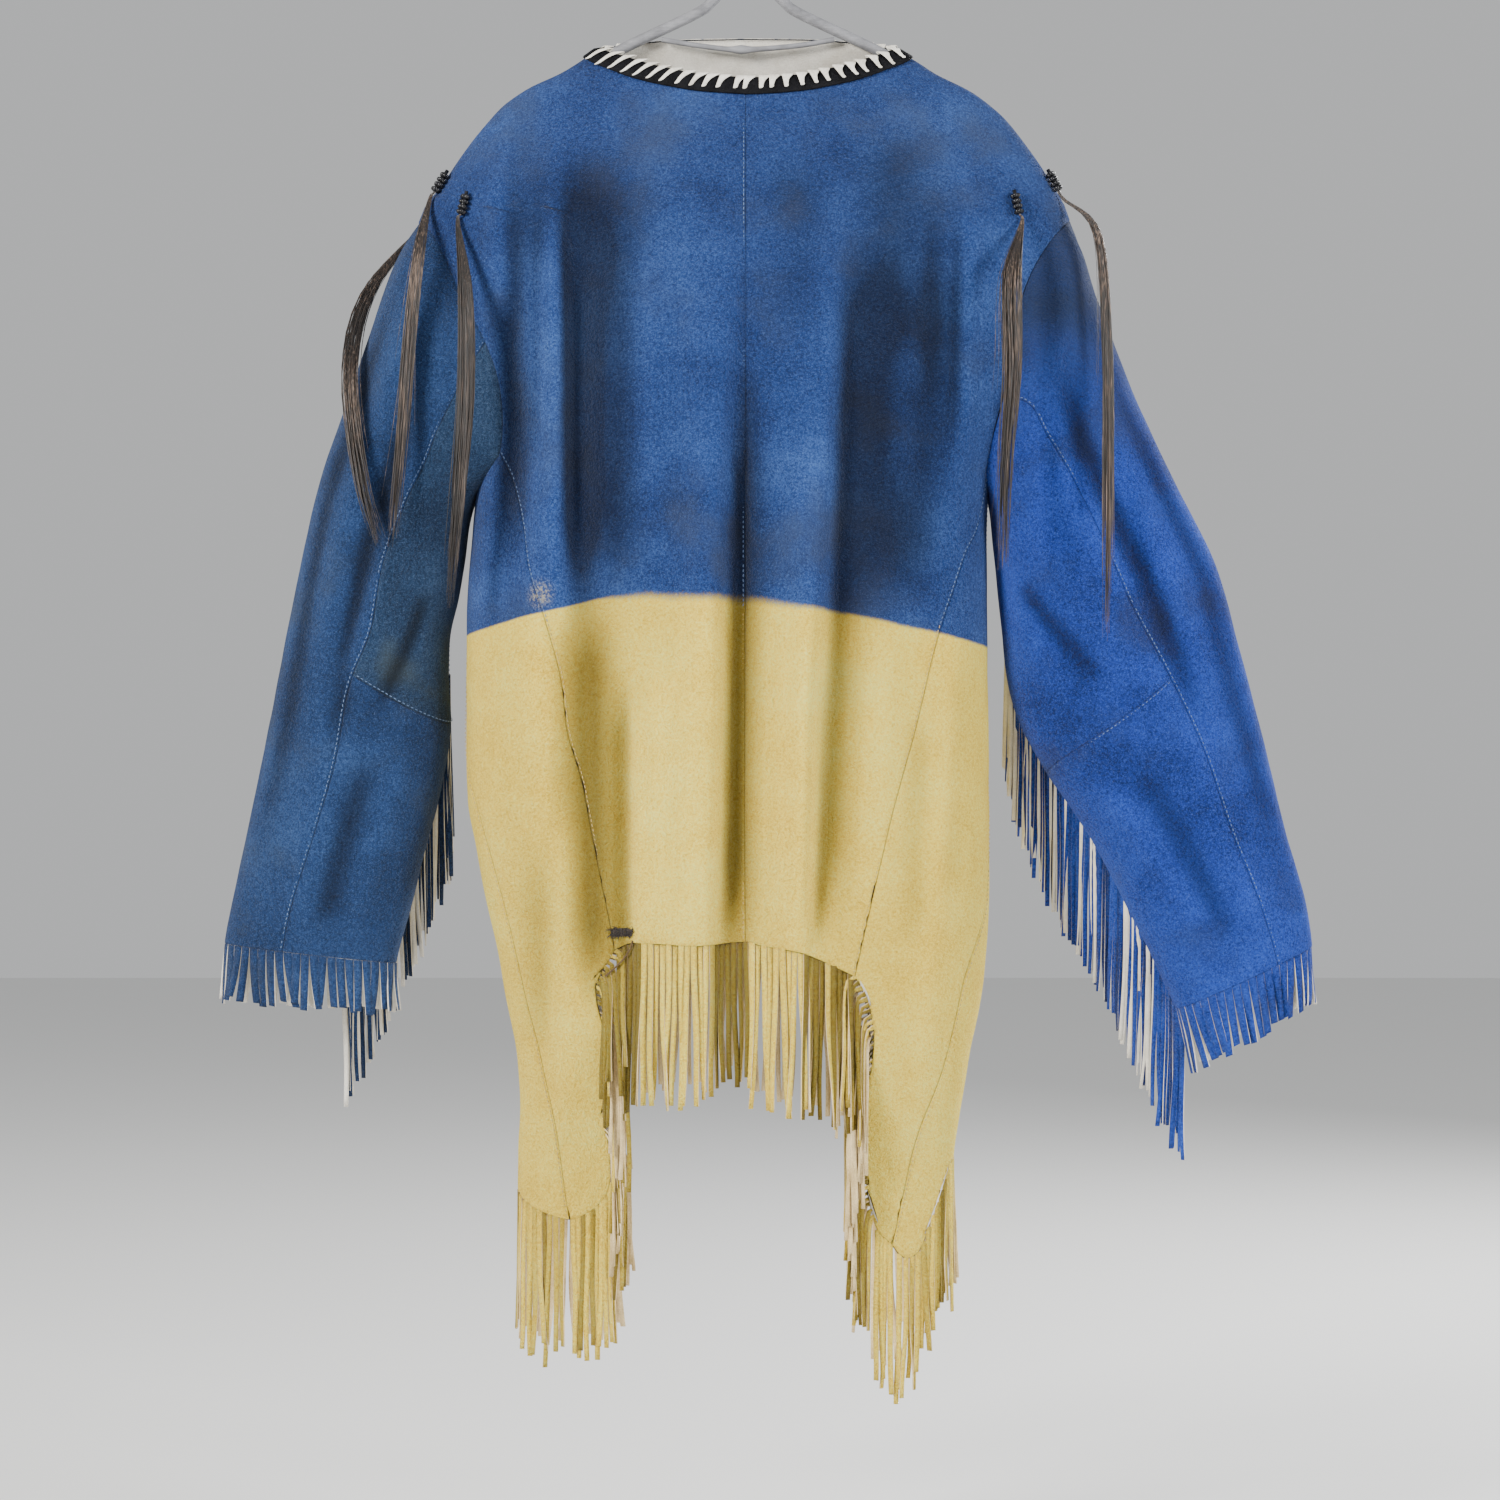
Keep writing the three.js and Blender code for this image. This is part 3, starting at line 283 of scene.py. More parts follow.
# Smaller creases, pressed into the hide between the main folds, and on the back some broad hollows.
# Counted twice, they also set painted shade in their troughs and painted highlight on their ridges.
BACK_CREASES = table(FOLD, [
    (-196, -190, -215, -470, 9, 8, 2.6), (-182, -178, -240, -560, 7, 8, -2.6),
    (-232, -238, -470, -700, 8, 10, 2.0), (-120, -128, -330, -660, 14, 9, 2.2),
    (-84, -80, -300, -600, 16, 12, 1.8), (30, 22, -250, -520, 12, 16, 2.0),
    (58, 60, -640, -950, 8, 7, -2.6), (64, 50, -330, -600, 9, 13, -1.8),
    (140, 132, -300, -560, 14, 12, 2.4), (160, 158, -260, -470, 8, 12, -2.2),
    (196, 190, -240, -520, 9, 7, 3.0), (183, 178, -260, -500, 6, 7, -2.6),
    (-36, -40, -640, -960, 9, 8, -2.4), (-80, -84, -650, -940, 7, 9, 2.4),
    (-94, -92, -690, -950, 6, 5, 3.0), (120, 108, -640, -930, 13, 11, 1.8),
    (150, 150, -700, -950, 16, 13, -1.8), (-190, -176, -700, -1040, 16, 14, -2.0),
    (-160, -158, -780, -1090, 12, 16, 2.2), (168, 150, -760, -1080, 14, 12, 2.0),
    (190, 176, -660, -900, 9, 10, -2.0),
    (-138, -134, -590, -1000, 25, 23, -6.0), (-157, -154, -235, -620, 7, 16, -4.5),
    (-143, -138, -215, -650, 22, 42, -8.0), (-200, -194, -205, -640, 18, 16, -7.0),
    (128, 126, -200, -430, 34, 34, -3.5),
    (130, 124, -300, -660, 44, 46, -5.5), (34, 30, -225, -430, 16, 34, -3.0),
    (16, 14, -450, -990, 14, 20, -1.0), (50, 46, -450, -990, 14, 9, 4.0),
    (-40, -40, -450, -990, 12, 10, 3.0),
    (-72, -72, -450, -990, 16, 14, -0.6), (185, 176, -450, -900, 24, 20, 3.0),
    (-186, -182, -450, -900, 16, 12, 3.0)])
FRONT_CREASES = table(FOLD, [
    (-190, -196, -240, -520, 9, 8, 2.6), (-176, -170, -270, -560, 8, 8, -2.4),
    (-96, -90, -300, -640, 13, 10, 2.2), (-34, -28, -300, -560, 12, 9, -1.8),
    (12, 8, -600, -940, 9, 8, 2.4), (64, 66, -340, -700, 14, 11, -2.0),
    (112, 118, -300, -640, 10, 13, 2.4), (176, 182, -250, -520, 9, 8, 2.8),
    (-80, -74, -680, -940, 10, 8, -2.2), (118, 112, -720, -950, 12, 9, 2.0),
    (-200, -186, -640, -960, 12, 14, 2.2), (182, 172, -660, -980, 11, 12, 2.0)])

LEFT_PRINCESS = table("z x", [
    (-497, -215), (-522, -203), (-558, -194), (-600, -188), (-641, -175), (-693, -161),
    (-740, -155), (-781, -143), (-817, -136), (-857, -128), (-902, -119), (-927, -115)])
RIGHT_PRINCESS = table("z x", [
    (-519, 208), (-562, 199), (-585, 188), (-615, 178), (-660, 163),
    (-737, 144), (-808, 124), (-860, 112), (-927, 97), (-950, 92)])
LEFT_TAB_EDGE = table("z x", [
    (-927, -115), (-942, -126), (-957, -131), (-975, -130), (-997, -124),
    (-1023, -120), (-1053, -124), (-1070, -126), (-1102, -120), (-1126, -119)])
RIGHT_TAB_EDGE = table("z x", [
    (-950, 92), (-966, 101), (-987, 107), (-1003, 109), (-1028, 107),
    (-1052, 102), (-1079, 99), (-1113, 101), (-1142, 106), (-1164, 113)])
LEFT_ARMHOLE_NEAR = table("z x", [
    (-293, -288), (-306, -274), (-326, -264), (-359, -249), (-401, -228), (-433, -217),
    (-465, -213), (-497, -215), (-505, -220), (-513, -226), (-521, -232), (-528, -238)])
LEFT_ARMHOLE_FAR = table("z x", [
    (-293, -288), (-311, -275), (-333, -264), (-363, -252), (-399, -238),
    (-433, -228), (-465, -224), (-491, -224), (-510, -230), (-528, -238)])
RIGHT_ARMHOLE_NEAR = table("z x", [
    (-290, 282), (-311, 264), (-335, 249), (-359, 239), (-385, 232), (-412, 227),
    (-447, 222), (-482, 213), (-509, 208), (-519, 208), (-526, 211)])
RIGHT_ARMHOLE_FAR = table("z x", [
    (-290, 282), (-311, 266), (-335, 252), (-359, 243), (-390, 234),
    (-421, 225), (-451, 216), (-482, 209), (-509, 206), (-526, 211)])
HEM = table("x z", [
    (-115, -927), (-99, -921), (-42, -923), (-2, -920), (11, -923), (45, -929), (65, -937),
    (92, -950)])
LEFT_SIDE_SEAM = table("z degrees", [
    (-528, 0), (-711, 0), (-764, 9), (-803, 19), (-836, 22), (-884, 26),
    (-940, 27), (-981, 29), (-1041, 33), (-1096, 40), (-1164, 46)])
RIGHT_SIDE_SEAM = table("z degrees", [
    (-526, 0), (-799, 0), (-869, 10), (-890, 12), (-934, 24),
    (-964, 29), (-1027, 31), (-1082, 39), (-1134, 44), (-1186, 49)])
LEFT_TAB_FOOT = table("degrees z", [
    (62, -1126), (60, -1142), (54, -1157), (46, -1164), (20, -1151), (0, -1140),
    (-20, -1149), (-46, -1162), (-55, -1156), (-60, -1142), (-62, -1126)])
RIGHT_TAB_FOOT = table("degrees z", [
    (57, -1164), (54, -1176), (49, -1186), (44, -1198), (36, -1192), (31, -1173), (14, -1120),
    (0, -1113), (-14, -1120), (-31, -1169), (-36, -1186), (-44, -1192), (-50, -1184), (-56, -1164)])
BACK_RIM = table("share z", [
    (0, -140), (0.25, -142), (0.5, -148), (0.65, -154), (0.8, -161), (0.9, -166), (1, -169)])
FRONT_RIM = table("share z", [(0, -140), (0.25, -136), (0.5, -132), (0.75, -129), (1, -128)])


FOLD_ENDS = 4.0                 # one over the share of a fold's length in which it fades out
FOLD_REACH = 3.5                # half widths beyond which a fold is left out
FOLD_GROWTH = 1.6               # how fast folds grow in from the outlines
# A fold of the height below gets the whole painted shade in its trough and the whole painted
# highlight on its ridge.
FULL_SHADE_FOLD = 14.0              # height of a fold that stands out wholly


def fold_height(folds, x, z, ends=FOLD_ENDS):
    """The summed height of the ridges and troughs of a table at a place."""
    height = 0.0
    for fold in folds:
        down = (fold["zTop"] - z) / (fold["zTop"] - fold["zLow"])
        if not 0 < down < 1:
            continue
        offset = x - mix(fold["xTop"], fold["xLow"], down)
        width = fold["leftWidth"] if offset < 0 else fold.get("rightWidth", fold["leftWidth"])
        if abs(offset) > FOLD_REACH * width:
            continue
        fade = min(1, ends * down, ends * (1 - down))
        height += fold["height"] * math.exp(-((offset / width) ** 2)) * fade * fade * (3 - 2 * fade)
    return height


class BodySurface:
    """The body as one tube: angle 0 is the left outline, a quarter turn the middle of the back,
    half a turn the right outline, and negative angles go round the front."""

    def section(self, z):
        left = read(BODY, "z", z, "left")
        right = read(BODY, "z", z, "right")
        return (left + right) / 2, (right - left) / 2, read(BODY, "z", z, "depth")

    def folds(self, angle, x, z, creases):
        """Height of the folds of the back or front, with the creases counted so many times."""
        back = math.sin(angle) > 0
        height = fold_height(BACK_FOLDS if back else FRONT_FOLDS, x, z)
        if creases:
            height += creases * fold_height(BACK_CREASES if back else FRONT_CREASES, x, z)
        return height

    def point(self, angle, z, creased=True):
        centre, half, depth = self.section(z)
        out = abs(math.sin(angle)) ** (2 / SQUARENESS)
        x = centre - half * power(math.cos(angle), 2 / SQUARENESS)
        folds = self.folds(angle, x, z, 1 if creased else 0)
        reach = depth * out + folds * min(1, FOLD_GROWTH * out)
        return Vector((x, -reach if math.sin(angle) > 0 else reach, z))

    def centre(self, angle, z):
        return Vector((self.section(z)[0], 0, z))

    def fold_shade(self, angle, z):
        """How far a fold stands out, or with a negative sign lies in, from -1 to 1, with the creases
        counted twice: it sets the painted shade of the troughs and the painted highlight of the
        ridges.
        """
        x = self.point(angle, z, False).x
        return clamp(self.folds(angle, x, z, 2) / FULL_SHADE_FOLD)

    def angle(self, x, z):
        centre, half, _ = self.section(z)
        return math.acos(power(clamp((centre - x) / half), SQUARENESS / 2))


body = BodySurface()


def on_back(x, z):
    return (body.angle(x, z), z)


def on_front(x, z):
    return (-body.angle(x, z), z)


def normal_of(surface, across, down):
    """The way a surface faces, away from the middle of its tube."""
    h = 1e-3
    a = surface.point(across + h, down) - surface.point(across - h, down)
    b = surface.point(across, down + h) - surface.point(across, down - h)
    normal = a.cross(b).normalized()
    outward = surface.point(across, down) - surface.centre(across, down)
    return -normal if normal.dot(outward) < 0 else normal


LEFT = {
    "name": "left", "sign": 1, "princess": LEFT_PRINCESS, "tabEdge": LEFT_TAB_EDGE,
    "tabFoot": LEFT_TAB_FOOT, "sideSeam": LEFT_SIDE_SEAM,
    "armholeNear": LEFT_ARMHOLE_NEAR, "armholeFar": LEFT_ARMHOLE_FAR,
    "nearStations": [-293, -326, -362, -401, -433, -465, -497, -505, -513, -521, -528],
    "farStations": [-293, -326, -362, -400, -435, -470, -505, -528],
    "nearSeamStation": 3, "princessStation": 6, "farSeamStation": 5}
RIGHT = {
    "name": "right", "sign": -1, "princess": RIGHT_PRINCESS, "tabEdge": RIGHT_TAB_EDGE,
    "tabFoot": RIGHT_TAB_FOOT, "sideSeam": RIGHT_SIDE_SEAM,
    "armholeNear": RIGHT_ARMHOLE_NEAR, "armholeFar": RIGHT_ARMHOLE_FAR,
    "nearStations": [-290, -330, -370, -409, -447, -484, -519, -521, -523, -525, -526],
    "farStations": [-290, -325, -360, -395, -430, -465, -500, -526],
    "nearSeamStation": 4, "princessStation": 6, "farSeamStation": 5}
SIDES = (LEFT, RIGHT)

# Cells between stations of the cut.
TAB_ROWS = 44
BODY_ROWS = 78
STATION_CELLS = 7
SHOULDER_ROWS = 32
BACK_COLUMNS = 60
HEM_COLUMNS = 60
TAB_COLUMNS = 34
SHOULDER_EASE = 0.72
RIM_CENTRE_Z = -169
ARMHOLE_FOOT_Z = -505
SHOULDER_TIP_Z = -285


def dense(stations):
    """The same stations with more between each pair."""
    return join(*[steps(a, b, STATION_CELLS) for a, b in zip(stations, stations[1:])])


def from_outline(side, degrees):
    return math.radians(degrees) if side is LEFT else math.pi - math.radians(degrees)


def round_front(side, degrees):
    return from_outline(side, degrees) - (0 if side is LEFT else FULL_TURN)


def edges_of(side):
    """The edges of the cut on one side, from the foot up; those of the front end in _front."""
    hem_z = side["princess"][-1]["z"]
    foot_z = side["tabEdge"][-1]["z"]
    seam_foot = side["sideSeam"][-1]
    near_list = dense(side["nearStations"])
    split = side["princessStation"] * STATION_CELLS
    corner_angle = body.angle(side["tabEdge"][-1]["x"], foot_z)
    corner = math.degrees(corner_angle if side is LEFT else math.pi - corner_angle)
    edges = {}

    def trace(name, heights, column, place):
        edges[name] = [place(read(side[column], "z", z, "x"), z) for z in heights]

    def foot(name, last, count, angle_at):
        edges[name] = [(angle_at(side, degrees), read(side["tabFoot"], "degrees", degrees, "z"))
                       for degrees in steps(seam_foot["degrees"], last, count)]

    for end, angle_at, place in (("", from_outline, on_back), ("_front", round_front, on_front)):
        for name, low, high, rows in (
                ("tab_seam", seam_foot["z"], hem_z, TAB_ROWS),
                ("body_seam", hem_z, near_list[-1], BODY_ROWS)):
            edges[name + end] = [
                (angle_at(side, read(side["sideSeam"], "z", z, "degrees")), z)
                for z in steps(low, high, rows)]
        edges["shoulder" + end] = [(angle_at(side, 0), z) for z in steps(
            near_list[0], BACK_RIM[0]["z"], SHOULDER_ROWS, SHOULDER_EASE)]
        trace("tab_edge" + end, steps(foot_z, hem_z, TAB_ROWS), "tabEdge", place)
    trace("princess", steps(hem_z, near_list[split], BODY_ROWS), "princess", on_back)
    trace("armhole", near_list[:split + 1][::-1], "armholeNear", on_back)
    trace("underarm", near_list[split:][::-1], "armholeNear", on_back)
    trace("armhole_front", dense(side["farStations"])[::-1], "armholeFar", on_front)
    foot("near_foot", corner, len(edges["underarm"]) - 1, from_outline)
    foot("far_foot", -corner, TAB_COLUMNS, round_front)
    return edges


left_edges = edges_of(LEFT)
right_edges = edges_of(RIGHT)


def hem_z(x):
    return read(HEM, "x", x, "z")


def hem_line(from_x, to_x, count, place):
    """Stations along the hem between two places, evenly round the body."""
    start = place(from_x, hem_z(from_x))
    end = place(to_x, hem_z(to_x))
    line = [start]
    for angle in steps(start[0], end[0], count)[1:-1]:
        x = body.point(angle, hem_z((from_x + to_x) / 2)).x
        line.append(place(x, hem_z(x)))
    return line + [end]


def rim_line(rim, start, end, count):
    return [(mix(start, end, t), read(rim, "share", 1 - abs(2 * t - 1), "z"))
            for t in steps(0, 1, count)]


centre_back = [on_back(CENTRE_SEAM_X, z) for z in join(
    steps(hem_z(CENTRE_SEAM_X), ARMHOLE_FOOT_Z, BODY_ROWS),
    steps(ARMHOLE_FOOT_Z, SHOULDER_TIP_Z, LEFT["princessStation"] * STATION_CELLS),
    steps(SHOULDER_TIP_Z, RIM_CENTRE_Z, SHOULDER_ROWS, SHOULDER_EASE))]
back_rim = rim_line(BACK_RIM, 0, math.pi, 2 * BACK_COLUMNS)
back_rim[BACK_COLUMNS] = centre_back[-1]
hem_left_x = HEM[0]["x"]
hem_right_x = HEM[-1]["x"]
back_hem_left = hem_line(hem_left_x, CENTRE_SEAM_X, BACK_COLUMNS, on_back)
back_hem_right = hem_line(CENTRE_SEAM_X, hem_right_x, BACK_COLUMNS, on_back)
front_hem = hem_line(hem_left_x, hem_right_x, HEM_COLUMNS, on_front)


def fill(left, right, low, high):
    """Fills the space between four edges; left and right run up, low and high left to right."""
    rows, columns = len(left) - 1, len(low) - 1
    bottom = [left[0]] + low[1:-1] + [right[0]]
    top = [left[rows]] + high[1:-1] + [right[rows]]
    grid = []
    for i in range(rows + 1):
        s = i / rows
        row = []
        for j in range(columns + 1):
            t = j / columns
            row.append(tuple(
                mix(left[i][k], right[i][k], t) + mix(bottom[j][k], top[j][k], s)
                - mix(mix(left[0][k], right[0][k], t), mix(left[rows][k], right[rows][k], t), s)
                for k in (0, 1)))
        grid.append(row)
    return grid


def lay_grid(shape, columns, rows, place, fold_shade=None):
    """A grid of cells whose points are put where place(column, row) says, in millimetres. The last
    argument is a layer and what it holds at each column and row, which sets painted shade and
    highlight there."""
    made = bmesh.ops.create_grid(shape, x_segments=columns, y_segments=rows, size=0.5)["verts"]
    for vert in made:
        column = round((vert.co.x + 0.5) * columns)
        row = round((vert.co.y + 0.5) * rows)
        vert.co = place(column, row) * MM
        if fold_shade:
            vert[fold_shade[0]] = fold_shade[1](column, row)
    return made


SEAM_FLAT = 1.2                 # the edge of each piece rolls in over this width
SEAM_LIP = 0.8                  # and most of it over this one
SEAM_SINK = 1.2                 # how deep the edge lies at the seam
LIP_SINK = 0.3                  # and at its lip
SMALLEST_CELL = 1.3
UNEVEN = ((9.0, 1.5), (34.0, 0.5))      # waves a metre and height of the hide's own unevenness


def thicken(piece, thickness, inside=0, edge=0):
    """Makes a sheet a wall; inside and edge are the numbers of the materials it has there."""
    shell = piece.modifiers.new("thickness", "SOLIDIFY")
    shell.thickness = thickness * MM
    shell.offset = 0
    shell.material_offset = inside
    shell.material_offset_rim = edge


def wear(piece, slot, *nodes):
    """Lets a piece ride with the shirt, in place of the CAD nodes that it finishes."""
    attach(piece, "root")
    if nodes:
        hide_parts(*nodes)


def cut_hide(name, node, surface, grids, materials, slot="painted", lift=0.0, sink=SEAM_SINK,
             smallest=SMALLEST_CELL):
    """A sewn piece of hide: a thin wall on a surface, whose edges roll in along the seams."""
    shape = bmesh.new()
    # The fold layer holds the painted shade and highlight of the folds; the seam layer marks the
    # edges for painted shade along the seams.
    for layer in ("fold", "seam"):
        shape.verts.layers.float.new(layer)
    fold, seam = [shape.verts.layers.float[layer] for layer in ("fold", "seam")]
    for grid in grids:
        lay_grid(shape, len(grid[0]) - 1, len(grid) - 1,
                 lambda column, row, grid=grid: surface.point(*grid[row][column]),
                 (fold, lambda column, row, grid=grid: surface.fold_shade(*grid[row][column])))
    bmesh.ops.remove_doubles(shape, verts=shape.verts, dist=smallest * MM)
    bmesh.ops.recalc_face_normals(shape, faces=shape.faces)
    probe_row = grids[0][len(grids[0]) // 2]
    probe = probe_row[len(probe_row) // 2]
    at = surface.point(*probe) * MM
    nearest = min(shape.faces, key=lambda face: (face.calc_center_median() - at).length_squared)
    if nearest.normal.dot(normal_of(surface, *probe)) < 0:
        bmesh.ops.reverse_faces(shape, faces=shape.faces)
    for width in (SEAM_FLAT, SEAM_LIP):
        rim = bmesh.ops.inset_region(
            shape, faces=shape.faces, thickness=width * MM, use_boundary=True,
            use_even_offset=False)["faces"]
    lip = {vert for face in rim for vert in face.verts}
    shape.normal_update()
    moves = []
    for vert in shape.verts:
        wave = sum(noise.noise(vert.co * scale + Vector((scale, 0, 7))) * height
                   for scale, height in UNEVEN)
        depth = 0.0
        if vert.is_boundary:
            vert[seam] = 1.0
            depth = sink
        elif vert in lip:
            vert[seam] = 0.5
            depth = LIP_SINK
        moves.append(vert.normal * ((wave - depth + lift) * MM))
    for vert, move in zip(shape.verts, moves):
        vert.co += move
    piece = link(name, shape, materials)
    thicken(piece, HIDE, inside=1)
    wear(piece, slot, node)


# Height of the lower edge of the blue paint, and how softly it ends, across the shirt.
PAINT_LINE = table("x z softness", [
    (-249, -656, 1.2), (-201, -642, 1.2), (-165, -634, 1.2), (-130, -626, 1.5), (-95, -623, 5),
    (-7, -625, 6), (46, -632, 4), (90, -639, 2.5), (160, -653, 2), (209, -665, 1.5)])
PAINT_X = 300.0
WORN_SPOT = (-0.181, -0.088, -0.622)
SOFTEST = 20.0


def paint_mask(hide, place, clouds, grain):
    """1 where the hide is painted: above a ragged line, but for one worn spot."""
    across = hide.axis(place, 0) * (0.5 / (PAINT_X * MM)) + 0.5

    def along_line(column, low, span):
        stops = [(0.5 + 0.5 * row["x"] / PAINT_X, ((row[column] - low) / span,) * 3)
                 for row in PAINT_LINE]
        return across.ramp(stops) * (span * MM) + low * MM

    heights = [row["z"] for row in PAINT_LINE]
    line = along_line("z", min(heights), max(heights) - min(heights))
    above = (hide.axis(place, 2) - line) / along_line("softness", 0, SOFTEST)
    ragged = (clouds - 0.5) * 1.6 + (grain - 0.5) * 1.5
    worn = hide.node("VectorMath", {"operation": "DISTANCE"}, {0: place, 1: WORN_SPOT}, "Value")
    rubbed_off = (1 - worn.rising(0.002, 0.02)) * grain.rising(0.4, 0.66) * 0.6
    return (above + ragged).rising(-1, 1) * (1 - rubbed_off)


def hide_finish(name, dark, middle, light, cloudy, gold=True, top_shade=0.0):
    """Suede: clouds of rubbed paint over gold hide, a speckled nap, a worn spot and stitched seams,
    with painted shade along the seams and in the fold troughs and painted highlight on the ridges.
    """
    hide = Finish(name)
    place = hide.place()
    broad = hide.noise(place, 8.5, 2, 0.55)
    clouds = hide.noise(place, 27, 4, 0.6)
    patches = hide.noise(place, 15, 3, 0.5)
    grain = hide.noise(place, 460, 3, 0.7)
    nap = hide.noise(place, 1050, 2, 0.65)
    # The seam layer, 1 at the edge of a piece and 0.5 at its lip, sets the painted shade along the
    # seams below.
    seam = hide.node("Attribute", {"attribute_name": "seam"}, {}, "Fac")
    # The fold layer is 0.5 on level hide, lower in troughs and higher on ridges: it drives painted
    # shade and painted highlight.
    fold = hide.node("Attribute", {"attribute_name": "fold"}, {}, "Fac") * 0.5 + 0.5
    tone = broad * 0.26 + clouds * 0.12 + grain * 0.38 + nap * 0.24
    rubbed = hide.blend(
        patches.rising(0.5, 0.72) * 0.55, tone.ramp([(0.39, dark), (0.5, middle), (0.62, light)]),
        cloudy)
    colour = hide.blend(nap.rising(0.5, 0.8) * 0.26, rubbed, (0.20, 0.30, 0.50))
    # Painted shade: high on the sleeve the colour is darkened towards a dark blue.
    if top_shade:
        high = hide.axis(place, 2).rising(-0.52, -0.36) * top_shade
        colour = hide.blend(high, colour, (0.018, 0.030, 0.062))
    if gold:
        bare_tone = clouds * 0.16 + broad * 0.16 + grain * 0.42 + nap * 0.26
        bare = bare_tone.ramp([
            (0.40, (0.80, 0.50, 0.040)), (0.5, (1.0, 0.72, 0.085)), (0.60, (1.0, 0.87, 0.19))])
        bare = hide.blend(nap.rising(0.5, 0.8) * 0.3, bare, (1.0, 0.94, 0.46))
        colour = hide.blend(paint_mask(hide, place, clouds, grain), bare, colour)
    # Painted shade along the seams: a soft dark band beside each and a darker line in its groove, the
    # line partly the dark join itself. The fold layer then gives painted shade in the troughs and
    # painted highlight on the ridges.
    for share, shade in (
            (seam.rising(0.0, 0.5) * 0.34, (0.30, 0.28, 0.22)),
            (seam.rising(0.36, 0.76), (0.13, 0.11, 0.10)),
            (1.0, fold.ramp([(0.1, (0.22, 0.21, 0.20)), (0.3, (0.50, 0.49, 0.48)),
                             (0.5, (0.86, 0.86, 0.86)), (0.8, (1, 1, 1))]))):
        colour = hide.blend(share, colour, shade, "MULTIPLY")
    wrinkles = hide.noise(place, 120, 3, 0.6, stretch=(1, 1, 0.7))
    height = nap * 0.5 + grain * 1.1 + wrinkles * 0.8 + clouds * 1.6
    return hide.surface(
        bump=height, depth=0.0036, Base_Color=colour, Roughness=0.82 + grain * 0.2,
        Sheen_Weight=0.06, Sheen_Roughness=0.45, Specular_IOR_Level=0.12)


def mottled(name, noises, tint, stops, bump, depth, roughness, **values):
    """A plainer material. Its tint, bump and roughness are each so much of its noises, and
    roughness starts with a number of its own."""
    finish = Finish(name)
    place = finish.place()
    fields = [finish.noise(place, *settings) for settings in noises]

    def total(shares):
        parts = [field * share for field, share in zip(fields, shares) if share]
        return sum(parts[1:], parts[0])

    return finish.surface(
        bump=total(bump), depth=depth, Base_Color=total(tint).ramp(stops),
        Roughness=roughness[0] + total(roughness[1:]), **values)


def flesh_finish(name, colour, shade):
    """The cream flesh side of the hide, and its cut edges."""
    return mottled(
        name, [(30, 3, 0.6), (700, 3, 0.7)], (0.6, 0.4), [(0.38, shade), (0.62, colour)],
        bump=(1, 0.8), depth=0.0008, roughness=(0.9, 0, 0.1), Sheen_Weight=0.15,
        Specular_IOR_Level=0.12)


WELT_WIDTH = 8.0
WELT_THICKNESS = 0.6
WELT_SUNK = 1.4                 # how far behind the middle of the hide a welt lies


def seam_welts(name, surface, edges, width=WELT_WIDTH, sunk=WELT_SUNK):
    """Strips of leather behind the seams, caught by their stitches, near black as painted shade in
    the gaps along the seams.
    """
    shape = bmesh.new()
    for edge in edges:
        spots = [surface.point(*station) for station in edge]
        rows = []
        for k in range(1, len(spots) - 1):
            along = spots[k + 1] - spots[k - 1]
            if along.length < 0.05:
                continue
            facing = normal_of(surface, *edge[k])
            rows.append((spots[k], facing, facing.cross(along).normalized()))
        lay_grid(shape, 2, len(rows) - 1, lambda column, row, rows=rows: (
            rows[row][0] - rows[row][1] * (sunk + (0.5 if column != 1 else 0))
            + rows[row][2] * ((column - 1) * width / 2)))
    bmesh.ops.recalc_face_normals(shape, faces=shape.faces)
    piece = link(name, shape, [welt_shade_leather])
    thicken(piece, WELT_THICKNESS)
    wear(piece, "painted")


# The welt leather is near black: painted shade for the gaps along the seams.
welt_shade_leather = flesh_finish("seam_gap_shade_welt", (0.030, 0.028, 0.030), (0.014, 0.013, 0.016))
body_suede = hide_finish(
    "painted_body_suede", (0.005, 0.017, 0.080), (0.017, 0.052, 0.205), (0.060, 0.140, 0.400),
    (0.040, 0.058, 0.125))
strip_flesh = flesh_finish("tan_strip_flesh", (0.86, 0.68, 0.38), (0.50, 0.36, 0.16))
flesh = flesh_finish("cream_flesh_side", (0.72, 0.69, 0.62), (0.52, 0.48, 0.41))
body_hide = [body_suede, flesh]


def sewn(edges, *names):
    """Edges of the cut that follow each other, as one."""
    return join(*[edges[name] for name in names])


def across_tab(seam, corner):
    return [(mix(seam[0], corner[0], t), mix(seam[1], corner[1], t))
            for t in steps(0, 1, TAB_COLUMNS)]


cut_hide("back_half_left", "back_left", body, [fill(
    sewn(left_edges, "princess", "armhole", "shoulder"), centre_back, back_hem_left,
    back_rim[:BACK_COLUMNS + 1])], body_hide)
cut_hide("back_half_right", "back_right", body, [fill(
    centre_back, sewn(right_edges, "princess", "armhole", "shoulder"), back_hem_right,
    back_rim[BACK_COLUMNS:])], body_hide)
for side, edges in zip(SIDES, (left_edges, right_edges)):
    cut_hide("side_panel_" + side["name"], "side_" + side["name"], body, [fill(
        sewn(edges, "tab_seam", "body_seam"), sewn(edges, "tab_edge", "princess"),
        edges["near_foot"], edges["underarm"])], body_hide)

